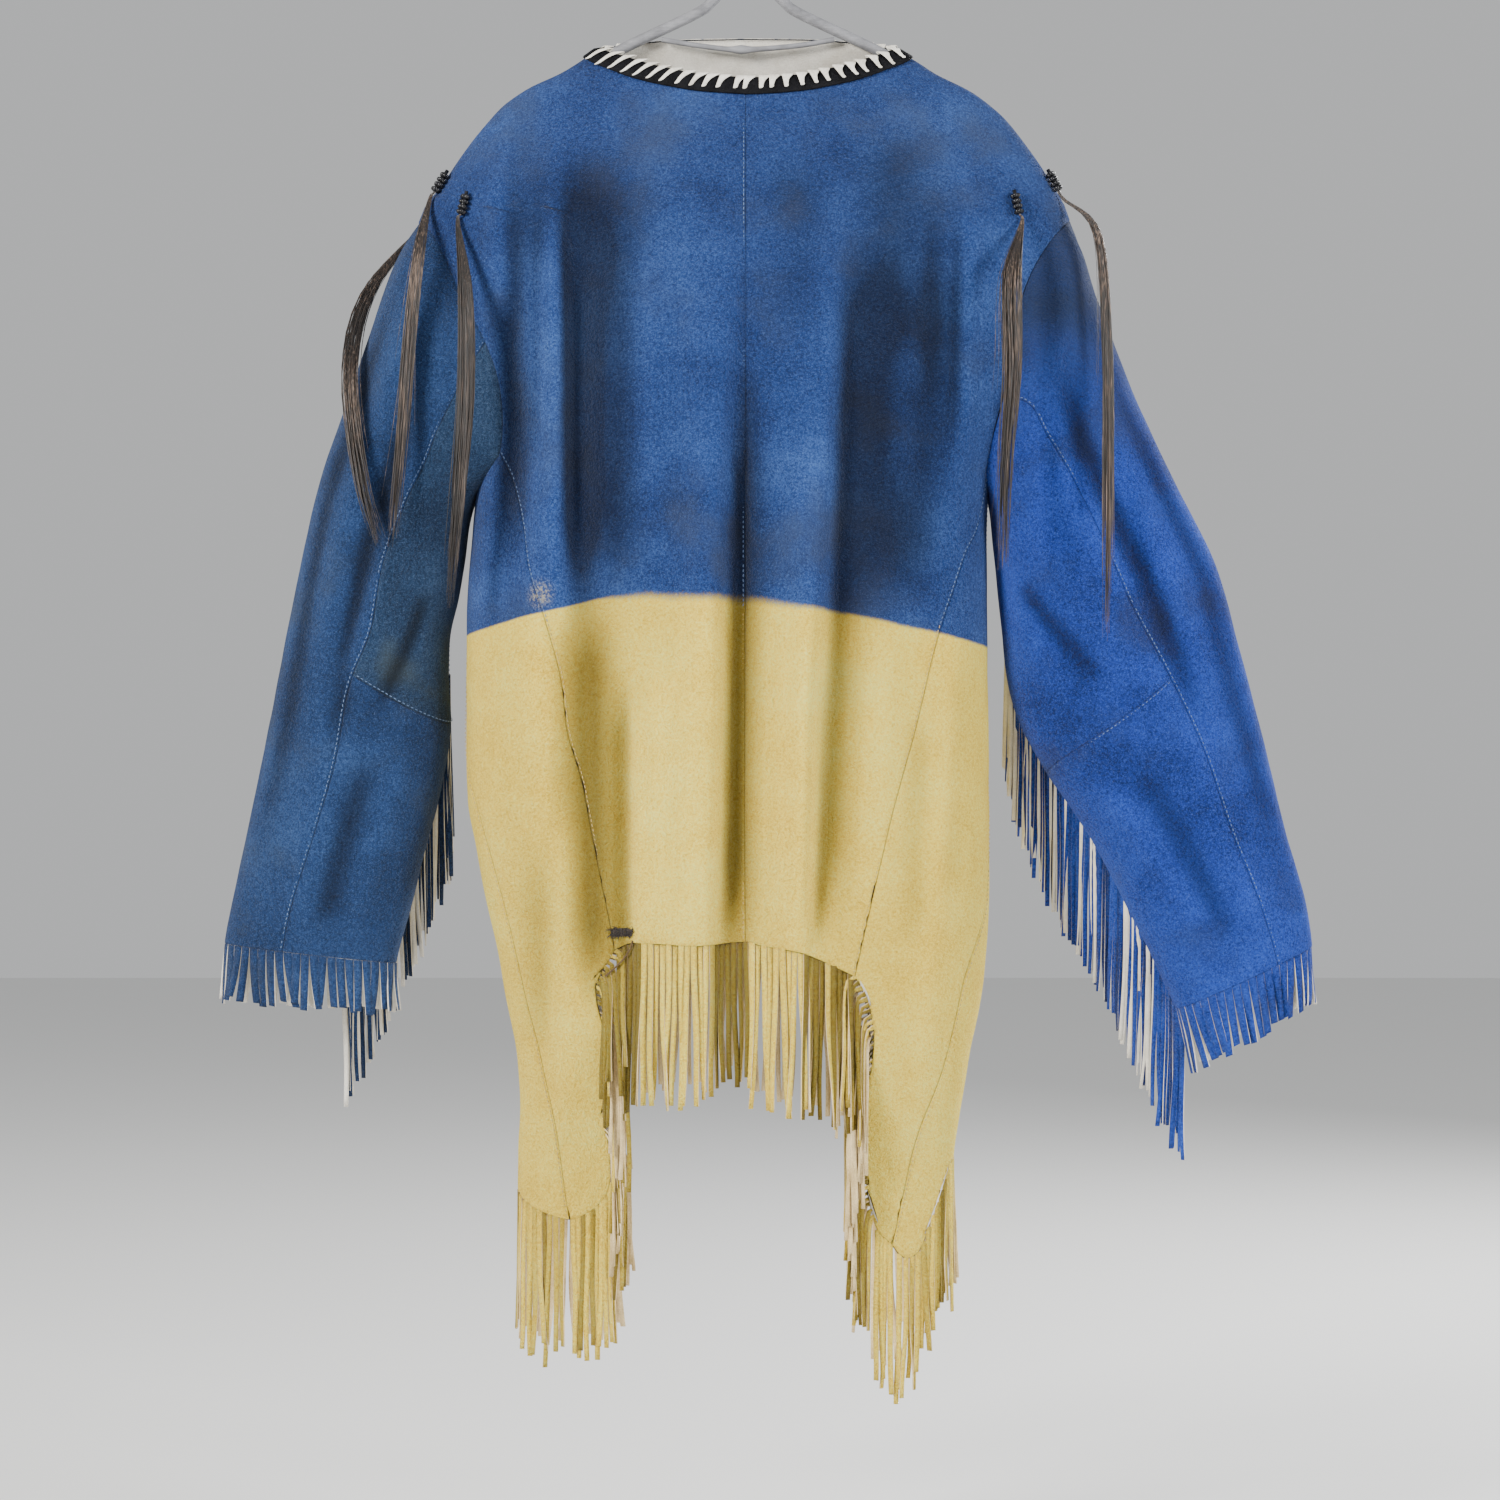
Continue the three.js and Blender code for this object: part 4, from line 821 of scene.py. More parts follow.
left_tab_top = across_tab(left_edges["body_seam_front"][0], left_edges["tab_edge_front"][-1])
right_tab_top = across_tab(
    right_edges["body_seam_front"][0], right_edges["tab_edge_front"][-1])[::-1]
front_foot = join(left_tab_top, front_hem, right_tab_top)
cut_hide("front_panel", "front", body, [
    fill(*[sewn(edges, "body_seam_front", "armhole_front", "shoulder_front")
           for edges in (left_edges, right_edges)],
         front_foot, rim_line(FRONT_RIM, 0, -math.pi, len(front_foot) - 1)),
    fill(left_edges["tab_seam_front"], left_edges["tab_edge_front"],
         left_edges["far_foot"], left_tab_top),
    fill(right_edges["tab_edge_front"], right_edges["tab_seam_front"],
         right_edges["far_foot"][::-1], right_tab_top)], body_hide)
seam_welts("body_seam_welts", body, [centre_back] + [
    line for edges in (left_edges, right_edges) for line in (
        edges["princess"], sewn(edges, "tab_seam", "body_seam"), edges["shoulder"])])
seam_welts("armhole_welts", body, [
    line for edges in (left_edges, right_edges) for line in (
        join(edges["underarm"][::-1], edges["armhole"]), edges["armhole_front"])],
    width=6.0, sunk=2.0)

# ---------------------------------------------------------------- neck binding and its lacing
# A folded strip of black leather covers the neck edge. Flat cream lace is whipped over it, wide
# on the rim and narrow where it comes out of each punched hole, so the black shows as teeth.

BINDING_HEIGHT = table("share height", [(0, 7), (0.5, 11), (1, 15)])
BINDING_LIFT = 2.6              # off the middle of the hide
BINDING_SINK = 0.5
BINDING_CELL = 0.9
BINDING_COLUMNS = 200
BINDING_ROWS = 4
LACE_PITCH = 10.9               # along the rim from one stitch to the next
LACE_WIDE = 11.2
LACE_END_REACH = 4.5            # down the outside of the band, at the shoulders
LACE_REACH = 9.6                # and at the middle of the neck
LACE_SLANT = 1.6
LACE_THICKNESS = 1.1
# Places of one stitch, up the outside, over the rim and down the inside: how far it has
# slanted, how far out it stands, its share of the reach and its share of the width.
LACE_TURN = (
    (-0.1, 1.0, 1.12, 0.2), (-0.02, 2.2, 1.03, 0.4), (0.1, 1.4, 0.9, 0.33), (0.24, 2.3, 0.72, 0.4),
    (0.5, 2.6, 0.44, 0.48), (0.7, 2.6, 0.2, 0.7), (0.86, 2.0, -0.04, 0.96), (1.0, 0.2, -0.2, 1.0),
    (1.08, -1.6, -0.06, 0.96), (1.14, -2.5, 0.3, 0.7), (1.18, -2.6, 0.6, 0.4))


def leather_finish():
    leather = Finish("black_binding_leather")
    place = leather.place()
    grain = leather.noise(place, 900, 3, 0.6)
    pores = leather.node("TexVoronoi", {}, {"Vector": place, "Scale": 750.0})
    scuffs = leather.noise(place, 90, 3, 0.6)
    colour = (scuffs * 0.7 + grain * 0.3).ramp([
        (0.4, (0.002, 0.002, 0.003)), (0.7, (0.009, 0.009, 0.011))])
    return leather.surface(
        bump=grain * 0.5 + pores * 0.5, depth=0.0012, Base_Color=colour,
        Roughness=0.42 + scuffs * 0.3, Specular_IOR_Level=0.09)


binding_leather = leather_finish()
lining_tape = flesh_finish("binding_lining", (0.72, 0.65, 0.53), (0.52, 0.45, 0.35))
cream_lace = mottled(
    "cream_lace", [(520, 3, 0.65), (60, 2, 0.5)], (0.5, 0.5),
    [(0.35, (0.55, 0.51, 0.43)), (0.6, (0.86, 0.83, 0.75))],
    bump=(1, 0), depth=0.0004, roughness=(0.6, 0.2, 0), Specular_IOR_Level=0.3)


def ribbon(shape, path, half_widths, across, columns=1, layer=None):
    """A flat strip through a list of points; across is its width's direction at each."""
    lay_grid(shape, columns, len(path) - 1, lambda column, row: (
        path[row] + across[row] * ((2 * column / columns - 1) * half_widths[row])), layer)


def along_path(spots, start, spacing):
    """Walks a path and stops at start, then after each distance that spacing() gives. Each stop
    is the number of the spot ahead, the way there, and how far the stop lies before it."""
    walked = 0.0
    for k in range(1, len(spots)):
        step = spots[k] - spots[k - 1]
        walked += step.length
        while walked >= start:
            before = walked - start
            start += spacing()
            yield k, step.normalized(), before


def neck_band(name, node, rim_table, end_angle):
    rim = rim_line(rim_table, 0, end_angle, BINDING_COLUMNS)

    def share(k):
        return 1 - abs(2 * k / BINDING_COLUMNS - 1)

    def row_at(t):
        return [(angle, z - read(BINDING_HEIGHT, "share", share(k), "height") * (1 - t))
                for k, (angle, z) in enumerate(rim)]

    cut_hide(name, node, body, [[row_at(t) for t in steps(0, 1, BINDING_ROWS)]],
             [binding_leather, lining_tape], "binding", lift=BINDING_LIFT, sink=BINDING_SINK,
             smallest=BINDING_CELL)

    lacing = bmesh.new()
    turn_out = 1 if end_angle > 0 else -1
    draw = random.Random(node)
    spots = [body.point(angle, z, False) for angle, z in rim]
    for k, _, _ in along_path(spots, LACE_PITCH, lambda: LACE_PITCH * draw.uniform(0.95, 1.05)):
        angle, rim_z = rim[k]
        reach = mix(LACE_END_REACH, LACE_REACH, min(1, share(k) * 2.2))
        slant = LACE_SLANT * draw.uniform(0.75, 1.15)
        path, widths, across = [], [], []
        for along, out, down, width in LACE_TURN:
            z = rim_z - reach * down
            start = body.point(angle, z, False)
            facing = normal_of(body, angle, min(z, rim_z - 3))
            tangent = Vector((0, 0, 1)).cross(facing).normalized() * turn_out
            shift = tangent.x / max(1e-6, abs(tangent.x))
            path.append(start + facing * (BINDING_LIFT + out) + tangent * (
                shift * (slant * (along - 0.8) + (width - 0.6) * LACE_WIDE / 2)))
            widths.append(width * LACE_WIDE / 2)
            across.append(tangent)
        ribbon(lacing, path, widths, across, columns=2)
    bmesh.ops.recalc_face_normals(lacing, faces=lacing.faces)
    lace = link(name + "_lacing", lacing, [cream_lace])
    thicken(lace, LACE_THICKNESS)
    rounding = lace.modifiers.new("rounding", "SUBSURF")
    rounding.levels = 1
    rounding.render_levels = 1
    wear(lace, "binding")


neck_band("neck_band_back", "neck_binding_back", BACK_RIM, math.pi)
neck_band("neck_band_front", "neck_binding_front", FRONT_RIM, -math.pi)

# ---------------------------------------------------------------- sleeves
# Each sleeve is an upper piece, an under piece and a long gusset under the arm, set into a low
# armhole. All of it is painted, the left duller and the right brighter, partly in the paint itself
# and partly as painted light and shade.

SLEEVE_ROUNDNESS = 0.85
RING = "ring xOuter zOuter xInner zInner depth"
LEFT["rings"] = table(RING, [
    (0, -288, -293, -238, -528, 62), (1, -303, -317, -245, -553, 60),
    (2, -321, -359, -250, -588, 57),
    (3, -347, -438, -256, -623, 54), (4, -374, -517, -263, -658, 50),
    (5, -393, -597, -263, -702, 46),
    (6, -408, -676, -262, -737, 43), (7, -424, -755, -270, -786, 40),
    (8, -441, -834, -286, -846, 36),
    (9, -452, -887, -297, -894, 32), (10, -459, -925, -310, -942, 28),
    (11, -463, -975, -308, -987, 24)])
RIGHT["rings"] = table(RING, [
    (0, 282, -290, 211, -526, 62), (1, 293, -317, 214, -549, 60), (2, 306, -359, 217, -579, 57),
    (3, 336, -438, 221, -614, 54), (4, 373, -517, 225, -654, 50), (5, 408, -588, 229, -693, 46),
    (6, 431, -667, 241, -733, 43), (7, 452, -746, 266, -777, 40), (8, 472, -825, 301, -830, 36),
    (9, 488, -883, 336, -896, 32), (10, 495, -928, 378, -982, 28), (11, 497, -977, 392, -1038, 24)])
LEFT["seams"] = table("ring near far", [
    (0, 0.46, 0.753), (1, 0.62, 0.87), (2, 0.62, 0.93), (3, 0.56, 0.97), (4, 0.53, 0.98),
    (5, 0.51, 0.98), (6, 0.42, 0.95), (7, 0.42, 0.88), (8, 0.39, 0.8), (9, 0.355, 0.73),
    (10, 0.357, 0.665)])
RIGHT["seams"] = table("ring near far", [
    (0, 0.665, 0.742), (1, 0.6, 0.76), (2, 0.55, 0.84), (3, 0.475, 0.94), (4, 0.434, 0.94),
    (5, 0.415, 0.93), (6, 0.345, 0.92), (7, 0.3, 0.92), (8, 0.3, 0.93), (9, 0.282, 0.94),
    (10, 0.28, 0.95)])
LEFT["gussetEnds"] = (5.8, 5.75)
RIGHT["gussetEnds"] = (6.05, 7.1)

# Creases of a sleeve are folds whose x is a turn and whose z is a ring.
CREASE = "xTop zTop xLow zLow leftWidth height"
CREASE_ENDS = 3.5
# A crease of the height below gets the whole painted shade and highlight.
FULL_SHADE_CREASE = 4.5
ARMHOLE_RINGS = 1.6             # rings over which a sleeve takes up the shape of its armhole
LEFT["creases"] = table(CREASE, [
    (1.05, 0.6, 0.95, 6.2, 0.16, 3.2), (1.45, 1.2, 1.3, 7.5, 0.13, -3.4),
    (0.62, 1.0, 0.7, 8.6, 0.17, -2.6),
    (1.9, 1.6, 1.62, 4.8, 0.12, 3.0), (2.15, 2.2, 1.2, 6.6, 0.12, 3.4),
    (2.4, 3.4, 1.7, 6.4, 0.1, -3.2),
    (1.2, 6.2, 1.35, 9.6, 0.18, 2.4), (1.75, 6.6, 1.65, 9.7, 0.15, -2.6),
    (2.2, 6.4, 2.05, 9.4, 0.14, 2.2),
    (-0.9, 0.8, -0.8, 7.0, 0.16, 3.0), (-1.35, 1.4, -1.2, 8.4, 0.14, -3.0),
    (-1.9, 2.0, -1.7, 7.8, 0.15, 2.6)])
RIGHT["creases"] = table(CREASE, [
    (0.95, 0.8, 0.9, 6.4, 0.16, 3.0), (1.35, 1.4, 1.1, 7.0, 0.13, -3.6),
    (1.7, 1.8, 1.4, 5.4, 0.12, 3.4),
    (2.2, 2.4, 1.25, 6.8, 0.12, 3.2), (2.45, 3.2, 1.8, 6.0, 0.1, -3.0),
    (0.6, 2.0, 0.62, 9.0, 0.17, -2.4),
    (1.25, 6.4, 1.2, 9.6, 0.17, 2.6), (1.8, 6.8, 1.6, 9.7, 0.16, -2.4),
    (2.3, 7.0, 2.0, 9.2, 0.14, 2.2),
    (-0.95, 1.0, -0.85, 7.4, 0.16, 2.8), (-1.4, 1.2, -1.3, 8.2, 0.14, -3.0),
    (-1.85, 2.2, -1.75, 8.0, 0.15, 2.8)])


def ring_angle(share):
    return math.acos(clamp(1 - 2 * share))


def station_angle(side, z):
    tip, pit = side["nearStations"][0], side["nearStations"][-1]
    return ring_angle((z - tip) / (pit - tip))


class SleeveSurface:
    """A sleeve as rings from the armhole to the cuff: turn 0 is its outer edge, pi its inner."""

    def __init__(self, side):
        self.side = side

    def value(self, ring, column):
        return read(self.side["rings"], "ring", ring, column)

    def armhole(self, turn):
        side = self.side
        z = mix(side["nearStations"][0], side["nearStations"][-1], (1 - math.cos(turn)) / 2)
        if math.sin(turn) >= 0:
            return on_back(read(side["armholeNear"], "z", z, "x"), z)
        return on_front(read(side["armholeFar"], "z", z, "x"), z)

    def ring_point(self, turn, ring, fullness=0.0):
        share = (1 - math.cos(turn)) / 2
        depth = self.value(ring, "depth") + fullness
        return Vector((
            mix(self.value(ring, "xOuter"), self.value(ring, "xInner"), share),
            -depth * power(math.sin(turn), SLEEVE_ROUNDNESS),
            mix(self.value(ring, "zOuter"), self.value(ring, "zInner"), share)))

    def crease(self, turn, ring):
        turn = (turn + math.pi) % FULL_TURN - math.pi
        return fold_height(self.side["creases"], turn, ring, CREASE_ENDS)

    # How far a crease stands out, from -1 to 1: painted shade in its troughs and painted highlight on
    # its ridges.
    def fold_shade(self, turn, ring):
        return clamp(self.crease(turn, ring) / FULL_SHADE_CREASE)

    def point(self, turn, ring):
        point = self.ring_point(turn, ring, self.crease(turn, ring))
        if ring < ARMHOLE_RINGS:
            seam = body.point(*self.armhole(turn)) - self.ring_point(turn, 0)
            point += seam * (1 - ring / ARMHOLE_RINGS) ** 2
        return point

    def centre(self, turn, ring):
        return Vector((
            (self.value(ring, "xOuter") + self.value(ring, "xInner")) / 2, 0,
            (self.value(ring, "zOuter") + self.value(ring, "zInner")) / 2))


CUFF_RING = 10
UNDER_ROWS = 50
GUSSET_ROWS = 58


def near_turn(side, ring):
    return ring_angle(read(side["seams"], "ring", ring, "near"))


def far_turn(side, ring):
    return FULL_TURN - ring_angle(read(side["seams"], "ring", ring, "far"))


# The left sleeve is duller and darker and the right brighter, partly in their own paint and partly as
# painted light and shade.
LEFT["suede"] = hide_finish(
    "painted_left_sleeve_suede", (0.006, 0.019, 0.060), (0.015, 0.044, 0.140),
    (0.042, 0.100, 0.260), (0.034, 0.050, 0.080), gold=False)
# The right sleeve is also darkened high up as painted shade.
RIGHT["suede"] = hide_finish(
    "painted_right_sleeve_suede", (0.005, 0.016, 0.110), (0.015, 0.052, 0.350),
    (0.034, 0.115, 0.620), (0.020, 0.032, 0.110), gold=False, top_shade=0.85)
gusset_suede = hide_finish(
    "painted_left_gusset_suede", (0.006, 0.017, 0.045), (0.018, 0.046, 0.108),
    (0.060, 0.110, 0.200), (0.052, 0.072, 0.078), gold=False)


def line(start, end, count, bulge=0.0):
    return [(mix(start[0], end[0], t), mix(start[1], end[1], t) + bulge * math.sin(math.pi * t))
            for t in steps(0, 1, count)]


def sew_sleeve(side):
    sleeve = side["surface"] = SleeveSurface(side)
    near_start = side["nearSeamStation"] * STATION_CELLS
    far_start = side["farSeamStation"] * STATION_CELLS
    near_list = [(station_angle(side, z), 0) for z in dense(side["nearStations"])]
    far_list = [(FULL_TURN - station_angle(side, z), 0) for z in dense(side["farStations"])]

    def seam(turn_at, split, end):
        rings = join(steps(CUFF_RING, split, UNDER_ROWS), steps(split, 0, GUSSET_ROWS))
        return [(turn_at(side, ring), ring) for ring in rings[:-1]] + [end]

    def back_a_turn(edge):
        return [(turn - FULL_TURN, ring) for turn, ring in edge]

    near = seam(near_turn, side["gussetEnds"][0], near_list[near_start])
    far = seam(far_turn, side["gussetEnds"][1], far_list[far_start])
    upper_top = join(back_a_turn(far_list[:far_start + 1])[::-1], near_list[:near_start + 1])
    gusset_top = join(near_list[near_start:], far_list[far_start:][::-1])
    upper_foot = line(back_a_turn(far)[0], near[0], len(upper_top) - 1)
    under_foot = line(near[0], far[0], len(gusset_top) - 1)
    split = line(near[UNDER_ROWS], far[UNDER_ROWS], len(gusset_top) - 1, 0.15)
    side["cuff"] = join(upper_foot, under_foot)
    cuts = {
        "upper": fill(back_a_turn(far), near, upper_foot, upper_top),
        "under": fill(near[:UNDER_ROWS + 1], far[:UNDER_ROWS + 1], under_foot, split),
        "gusset": fill(near[UNDER_ROWS:], far[UNDER_ROWS:], split, gusset_top)}
    side["seam_lines"] = (near, far, split)
    for cut, grid in cuts.items():
        suede = gusset_suede if (side is LEFT and cut == "gusset") else side["suede"]
        node = f"sleeve_{side['name']}_{cut}"
        cut_hide(node + "_piece", node, sleeve, [grid], [suede, flesh])
    seam_welts(f"sleeve_{side['name']}_seam_welts", sleeve, side["seam_lines"], sunk=1.5)


for side in SIDES:
    sew_sleeve(side)

# ---------------------------------------------------------------- fringes
# Every edge ends in strips cut from the hide: painted or gold outside, cream inside and along
# the cut. They hang a little apart, sway and twist, so the cream shows between the others.

STRIP_THICKNESS = 1.3
STRIP_CELLS = 11
STRIP_TAPER = 0.12              # share of its width that a strip loses on its way down
STRIP_LIFT = 0.6                # how far inside the edge a hanging strip starts
MOST_TWIST = 1.7
SWAY_ACROSS, SWAY_OUT = 0.45, 0.35      # spread of a strip's drift, as shares of its sway
RIPPLE = 0.32                   # height of its wave, as a share of its sway
RIPPLE_WAVES = 5.5
TONE, TONE_SPREAD = -0.12, 0.33


def hang_strip(shape, draw, root, out, length, width, along, reach=0.0, sway=5.0, twist=0.5,
               lean=(0, 0), curve=9.0, fold_shade=0.0):
    """One strip: it leaves its root towards out for about its reach, then hangs straight down."""
    out = out.normalized()
    along = along.normalized()
    drift = Vector((draw.gauss(0, SWAY_ACROSS) * sway + lean[0],
                    draw.gauss(0, SWAY_OUT) * sway + lean[1], 0))
    ripple = draw.uniform(0.2, 1.0) * sway * RIPPLE
    phase = draw.uniform(0, FULL_TURN)
    turn = clamp(draw.gauss(0, twist), -MOST_TWIST, MOST_TWIST)
    level = Vector((along.x, along.y, 0))
    level = level.normalized() if level.length > 0.2 else Vector((1, 0, 0))
    path, widths, across = [], [], []
    for k in range(STRIP_CELLS + 1):
        s = k / STRIP_CELLS
        spread = 1 - math.exp(-curve * s)
        drop = length * (s - (spread / curve if reach else 0))
        centre = root + out * (reach * spread) + drift * s ** 1.6 + Vector((0, 0, -drop))
        centre += level * (ripple * math.sin(phase + RIPPLE_WAVES * s) * s)
        angle = turn * s ** 1.25
        facing = Vector((0, 0, 1)).cross(level)
        hung = level * math.cos(angle) + facing * math.sin(angle)
        path.append(centre)
        across.append(along.lerp(hung, min(1, spread * 1.2)).normalized() if reach else hung)
        widths.append(width / 2 * (1 - STRIP_TAPER * s))
    # The fold layer holds how light the strip is: the painted shade and highlight given for its
    # place, plus a random tone of its own.
    fold = shape.verts.layers.float.get("fold") or shape.verts.layers.float.new("fold")
    tone = fold_shade + draw.gauss(TONE, TONE_SPREAD)
    ribbon(shape, path, widths, across, layer=(fold, lambda column, row: tone))


def turn_outwards(shape, outward):
    """Makes the faces of the newest strip face away from the shirt at its root."""
    shape.faces.ensure_lookup_table()
    faces = shape.faces[-STRIP_CELLS:]
    faces[0].normal_update()
    if faces[0].normal.dot(outward) < 0:
        bmesh.ops.reverse_faces(shape, faces=list(faces))


def fringe_piece(name, node, shape, materials, slot):
    piece = link(name, shape, materials)
    thicken(piece, STRIP_THICKNESS, inside=1, edge=1)
    wear(piece, slot, node)


# Cuffs: short strips about 8 mm wide, all round the end of each sleeve.
CUFF_STRIP = 7.6
CUFF_STRIP_END_RING = 11
CUFF_STRIP_FAN = 3.0
CUFF_STRIP_TWIST = 0.32
MOST_CUFF_TWIST = 1.2


def cuff_fringe(side):
    sleeve = side["surface"]
    draw = random.Random("cuff " + side["name"])
    shape = bmesh.new()
    places = [sleeve.point(turn, CUFF_RING) for turn, ring in side["cuff"]]
    girth = sum((b - a).length for a, b in zip(places, places[1:]))
    pitch = girth / round(girth / CUFF_STRIP)
    for n, (k, along, before) in enumerate(along_path(places, pitch / 2, lambda: pitch)):
        share = before / (places[k] - places[k - 1]).length
        turn = mix(side["cuff"][k][0], side["cuff"][k - 1][0], share)
        root = sleeve.point(turn, CUFF_RING)
        down = sleeve.point(turn, CUFF_STRIP_END_RING) - root
        outward = normal_of(sleeve, turn, CUFF_RING)
        length = down.length * draw.uniform(0.9, 1.06)
        fan = draw.gauss(0, CUFF_STRIP_FAN)
        turn_by = clamp(draw.gauss(0, CUFF_STRIP_TWIST), -MOST_CUFF_TWIST, MOST_CUFF_TWIST)
        path, widths, across = [], [], []
        for s in steps(0, 1, STRIP_CELLS):
            angle = turn_by * s ** 1.4
            path.append(root + down.normalized() * (length * s) + along * (fan * s ** 1.5)
                        + outward * (draw.uniform(0, 0.001) + 1.8 * math.sin(2.4 * s + n) * s))
            across.append(along * math.cos(angle) + outward * math.sin(angle))
            widths.append(CUFF_STRIP / 2 * mix(0.99, 0.88, s))
        ribbon(shape, path, widths, across)
        turn_outwards(shape, outward)
    fringe_piece(f"cuff_strips_{side['name']}", f"cuff_fringe_{side['name']}", shape,
                 [side["suede"], flesh], "painted")


# Sleeves: long narrow strips, sewn in the far seam from above the elbow to the cuff.
SLEEVE_STRIP = 4.6
SLEEVE_STRIP_PITCH = SLEEVE_STRIP * 0.98
SLEEVE_STRIP_LENGTH = 143
SLEEVE_FRINGE_LEAN = 25
SLEEVE_FRINGE_BEHIND = 2.8
LEFT["fringeRing"] = 4.7
RIGHT["fringeRing"] = 3.5


def sleeve_fringe(side):
    sleeve = side["surface"]
    draw = random.Random("sleeve " + side["name"])
    shape = bmesh.new()
    places = [sleeve.point(far_turn(side, ring), ring)
              for ring in steps(side["fringeRing"], CUFF_RING, 240)]
    for k, along, _ in along_path(places, 0.0, lambda: SLEEVE_STRIP_PITCH):
        root = places[k] + Vector((0, SLEEVE_FRINGE_BEHIND, 0))
        hang_strip(shape, draw, root, Vector((0, 1, 0)),
                   SLEEVE_STRIP_LENGTH * draw.uniform(0.93, 1.01), SLEEVE_STRIP, along,
                   twist=0.75, lean=(0, SLEEVE_FRINGE_LEAN))
        turn_outwards(shape, Vector((0, draw.choice((-1, -1, 1)), 0)))
    fringe_piece(f"sleeve_strips_{side['name']}", f"sleeve_fringe_{side['name']}", shape,
                 [side["suede"], flesh], "painted")


for fringe in (cuff_fringe, sleeve_fringe):
    for side in SIDES:
        fringe(side)

# Hem: strips under the arch of the back and of the front.
HEM_STRIP = 5.2
HEM_STRIP_PITCH = HEM_STRIP * 1.04
HEM_FRINGE_START, HEM_FRINGE_END = 4, 3     # in from the corners of the arch
STRAY_SHARE = 0.14
# How light the strips are across the hem, from -1 to 1: painted shade for the strips under the fold
# troughs and painted highlight for those under the ridges.
HEM_STRIP_SHADES = table("x tone", [
    (-113, -0.6), (-96, -0.8), (-88, 0.4), (-34, 0.4), (-28, -1.0), (-3, -1.0), (2, 0.4), (44, 0.5),
    (52, -0.5), (74, -0.7), (95, -0.9)])
HEM_FRINGE_FOOT = table("x z", [
    (-113, -1076), (-100, -1066), (-84, -1061), (-62, -1062), (-43, -1057), (-36, -1061),
    (-26, -1050),
    (-13, -1043), (1, -1043), (5, -1058), (18, -1068), (31, -1071), (47, -1073), (62, -1075),
    (71, -1083), (81, -1095), (90, -1090)])


def hem_fringe(name, node, place, seed):
    draw = random.Random(seed)
    shape = bmesh.new()
    x = hem_left_x + HEM_FRINGE_START
    while x < hem_right_x - HEM_FRINGE_END:
        angle, z = place(x, hem_z(x))
        root = body.point(angle, z)
        along = (body.point(*place(x + 1, hem_z(x + 1))) - root).normalized()
        outward = normal_of(body, angle, z)
        length = z - read(HEM_FRINGE_FOOT, "x", x, "z") + draw.gauss(0, 3.2)
        stray = draw.random() < STRAY_SHARE
        root = root + Vector((0, 0, STRIP_LIFT)) + outward * draw.uniform(-1.6, 0.4)
        hang_strip(shape, draw, root, outward, length - 2, HEM_STRIP * draw.uniform(0.8, 1.04),
                   along, sway=6.5, twist=1.3 if stray else 0.6,
                   fold_shade=read(HEM_STRIP_SHADES, "x", x, "tone"))
        turn_outwards(shape, outward)
        x += HEM_STRIP_PITCH * abs(along.x)
    fringe_piece(name, node, shape, [body_suede, strip_flesh], "gold_hide")


hem_fringe("hem_strips_back", "hem_fringe_back", on_back, 21)
hem_fringe("hem_strips_front", "hem_fringe_front", on_front, 22)

# Tabs: strips round the foot of each tab, and out of its inner edges, where they leave the edge
# squarely, loop over and droop.
TAB_STRIP = 5.2
TAB_STRIP_SHORTEST = 105
TAB_STRIP_LONGEST = 138
TAB_STRIP_LOW_Z = -1290
RISE, LOW_RISE, LOW_RISE_Z = 0.1, 0.35, -1060      # slope at which strips leave the inner edges
LEFT["tabFringeFoot"] = table("degrees z", [
    (75, -1240), (62, -1266), (54, -1281), (46, -1283), (36, -1285), (24, -1281), (10, -1268),
    (0, -1258), (-20, -1268), (-46, -1280), (-75, -1250)])
RIGHT["tabFringeFoot"] = table("degrees z", [
    (75, -1240), (66, -1262), (57, -1295), (49, -1317), (42, -1315), (36, -1290), (26, -1250),
    (12, -1232), (0, -1222), (-30, -1250), (-57, -1300), (-75, -1250)])


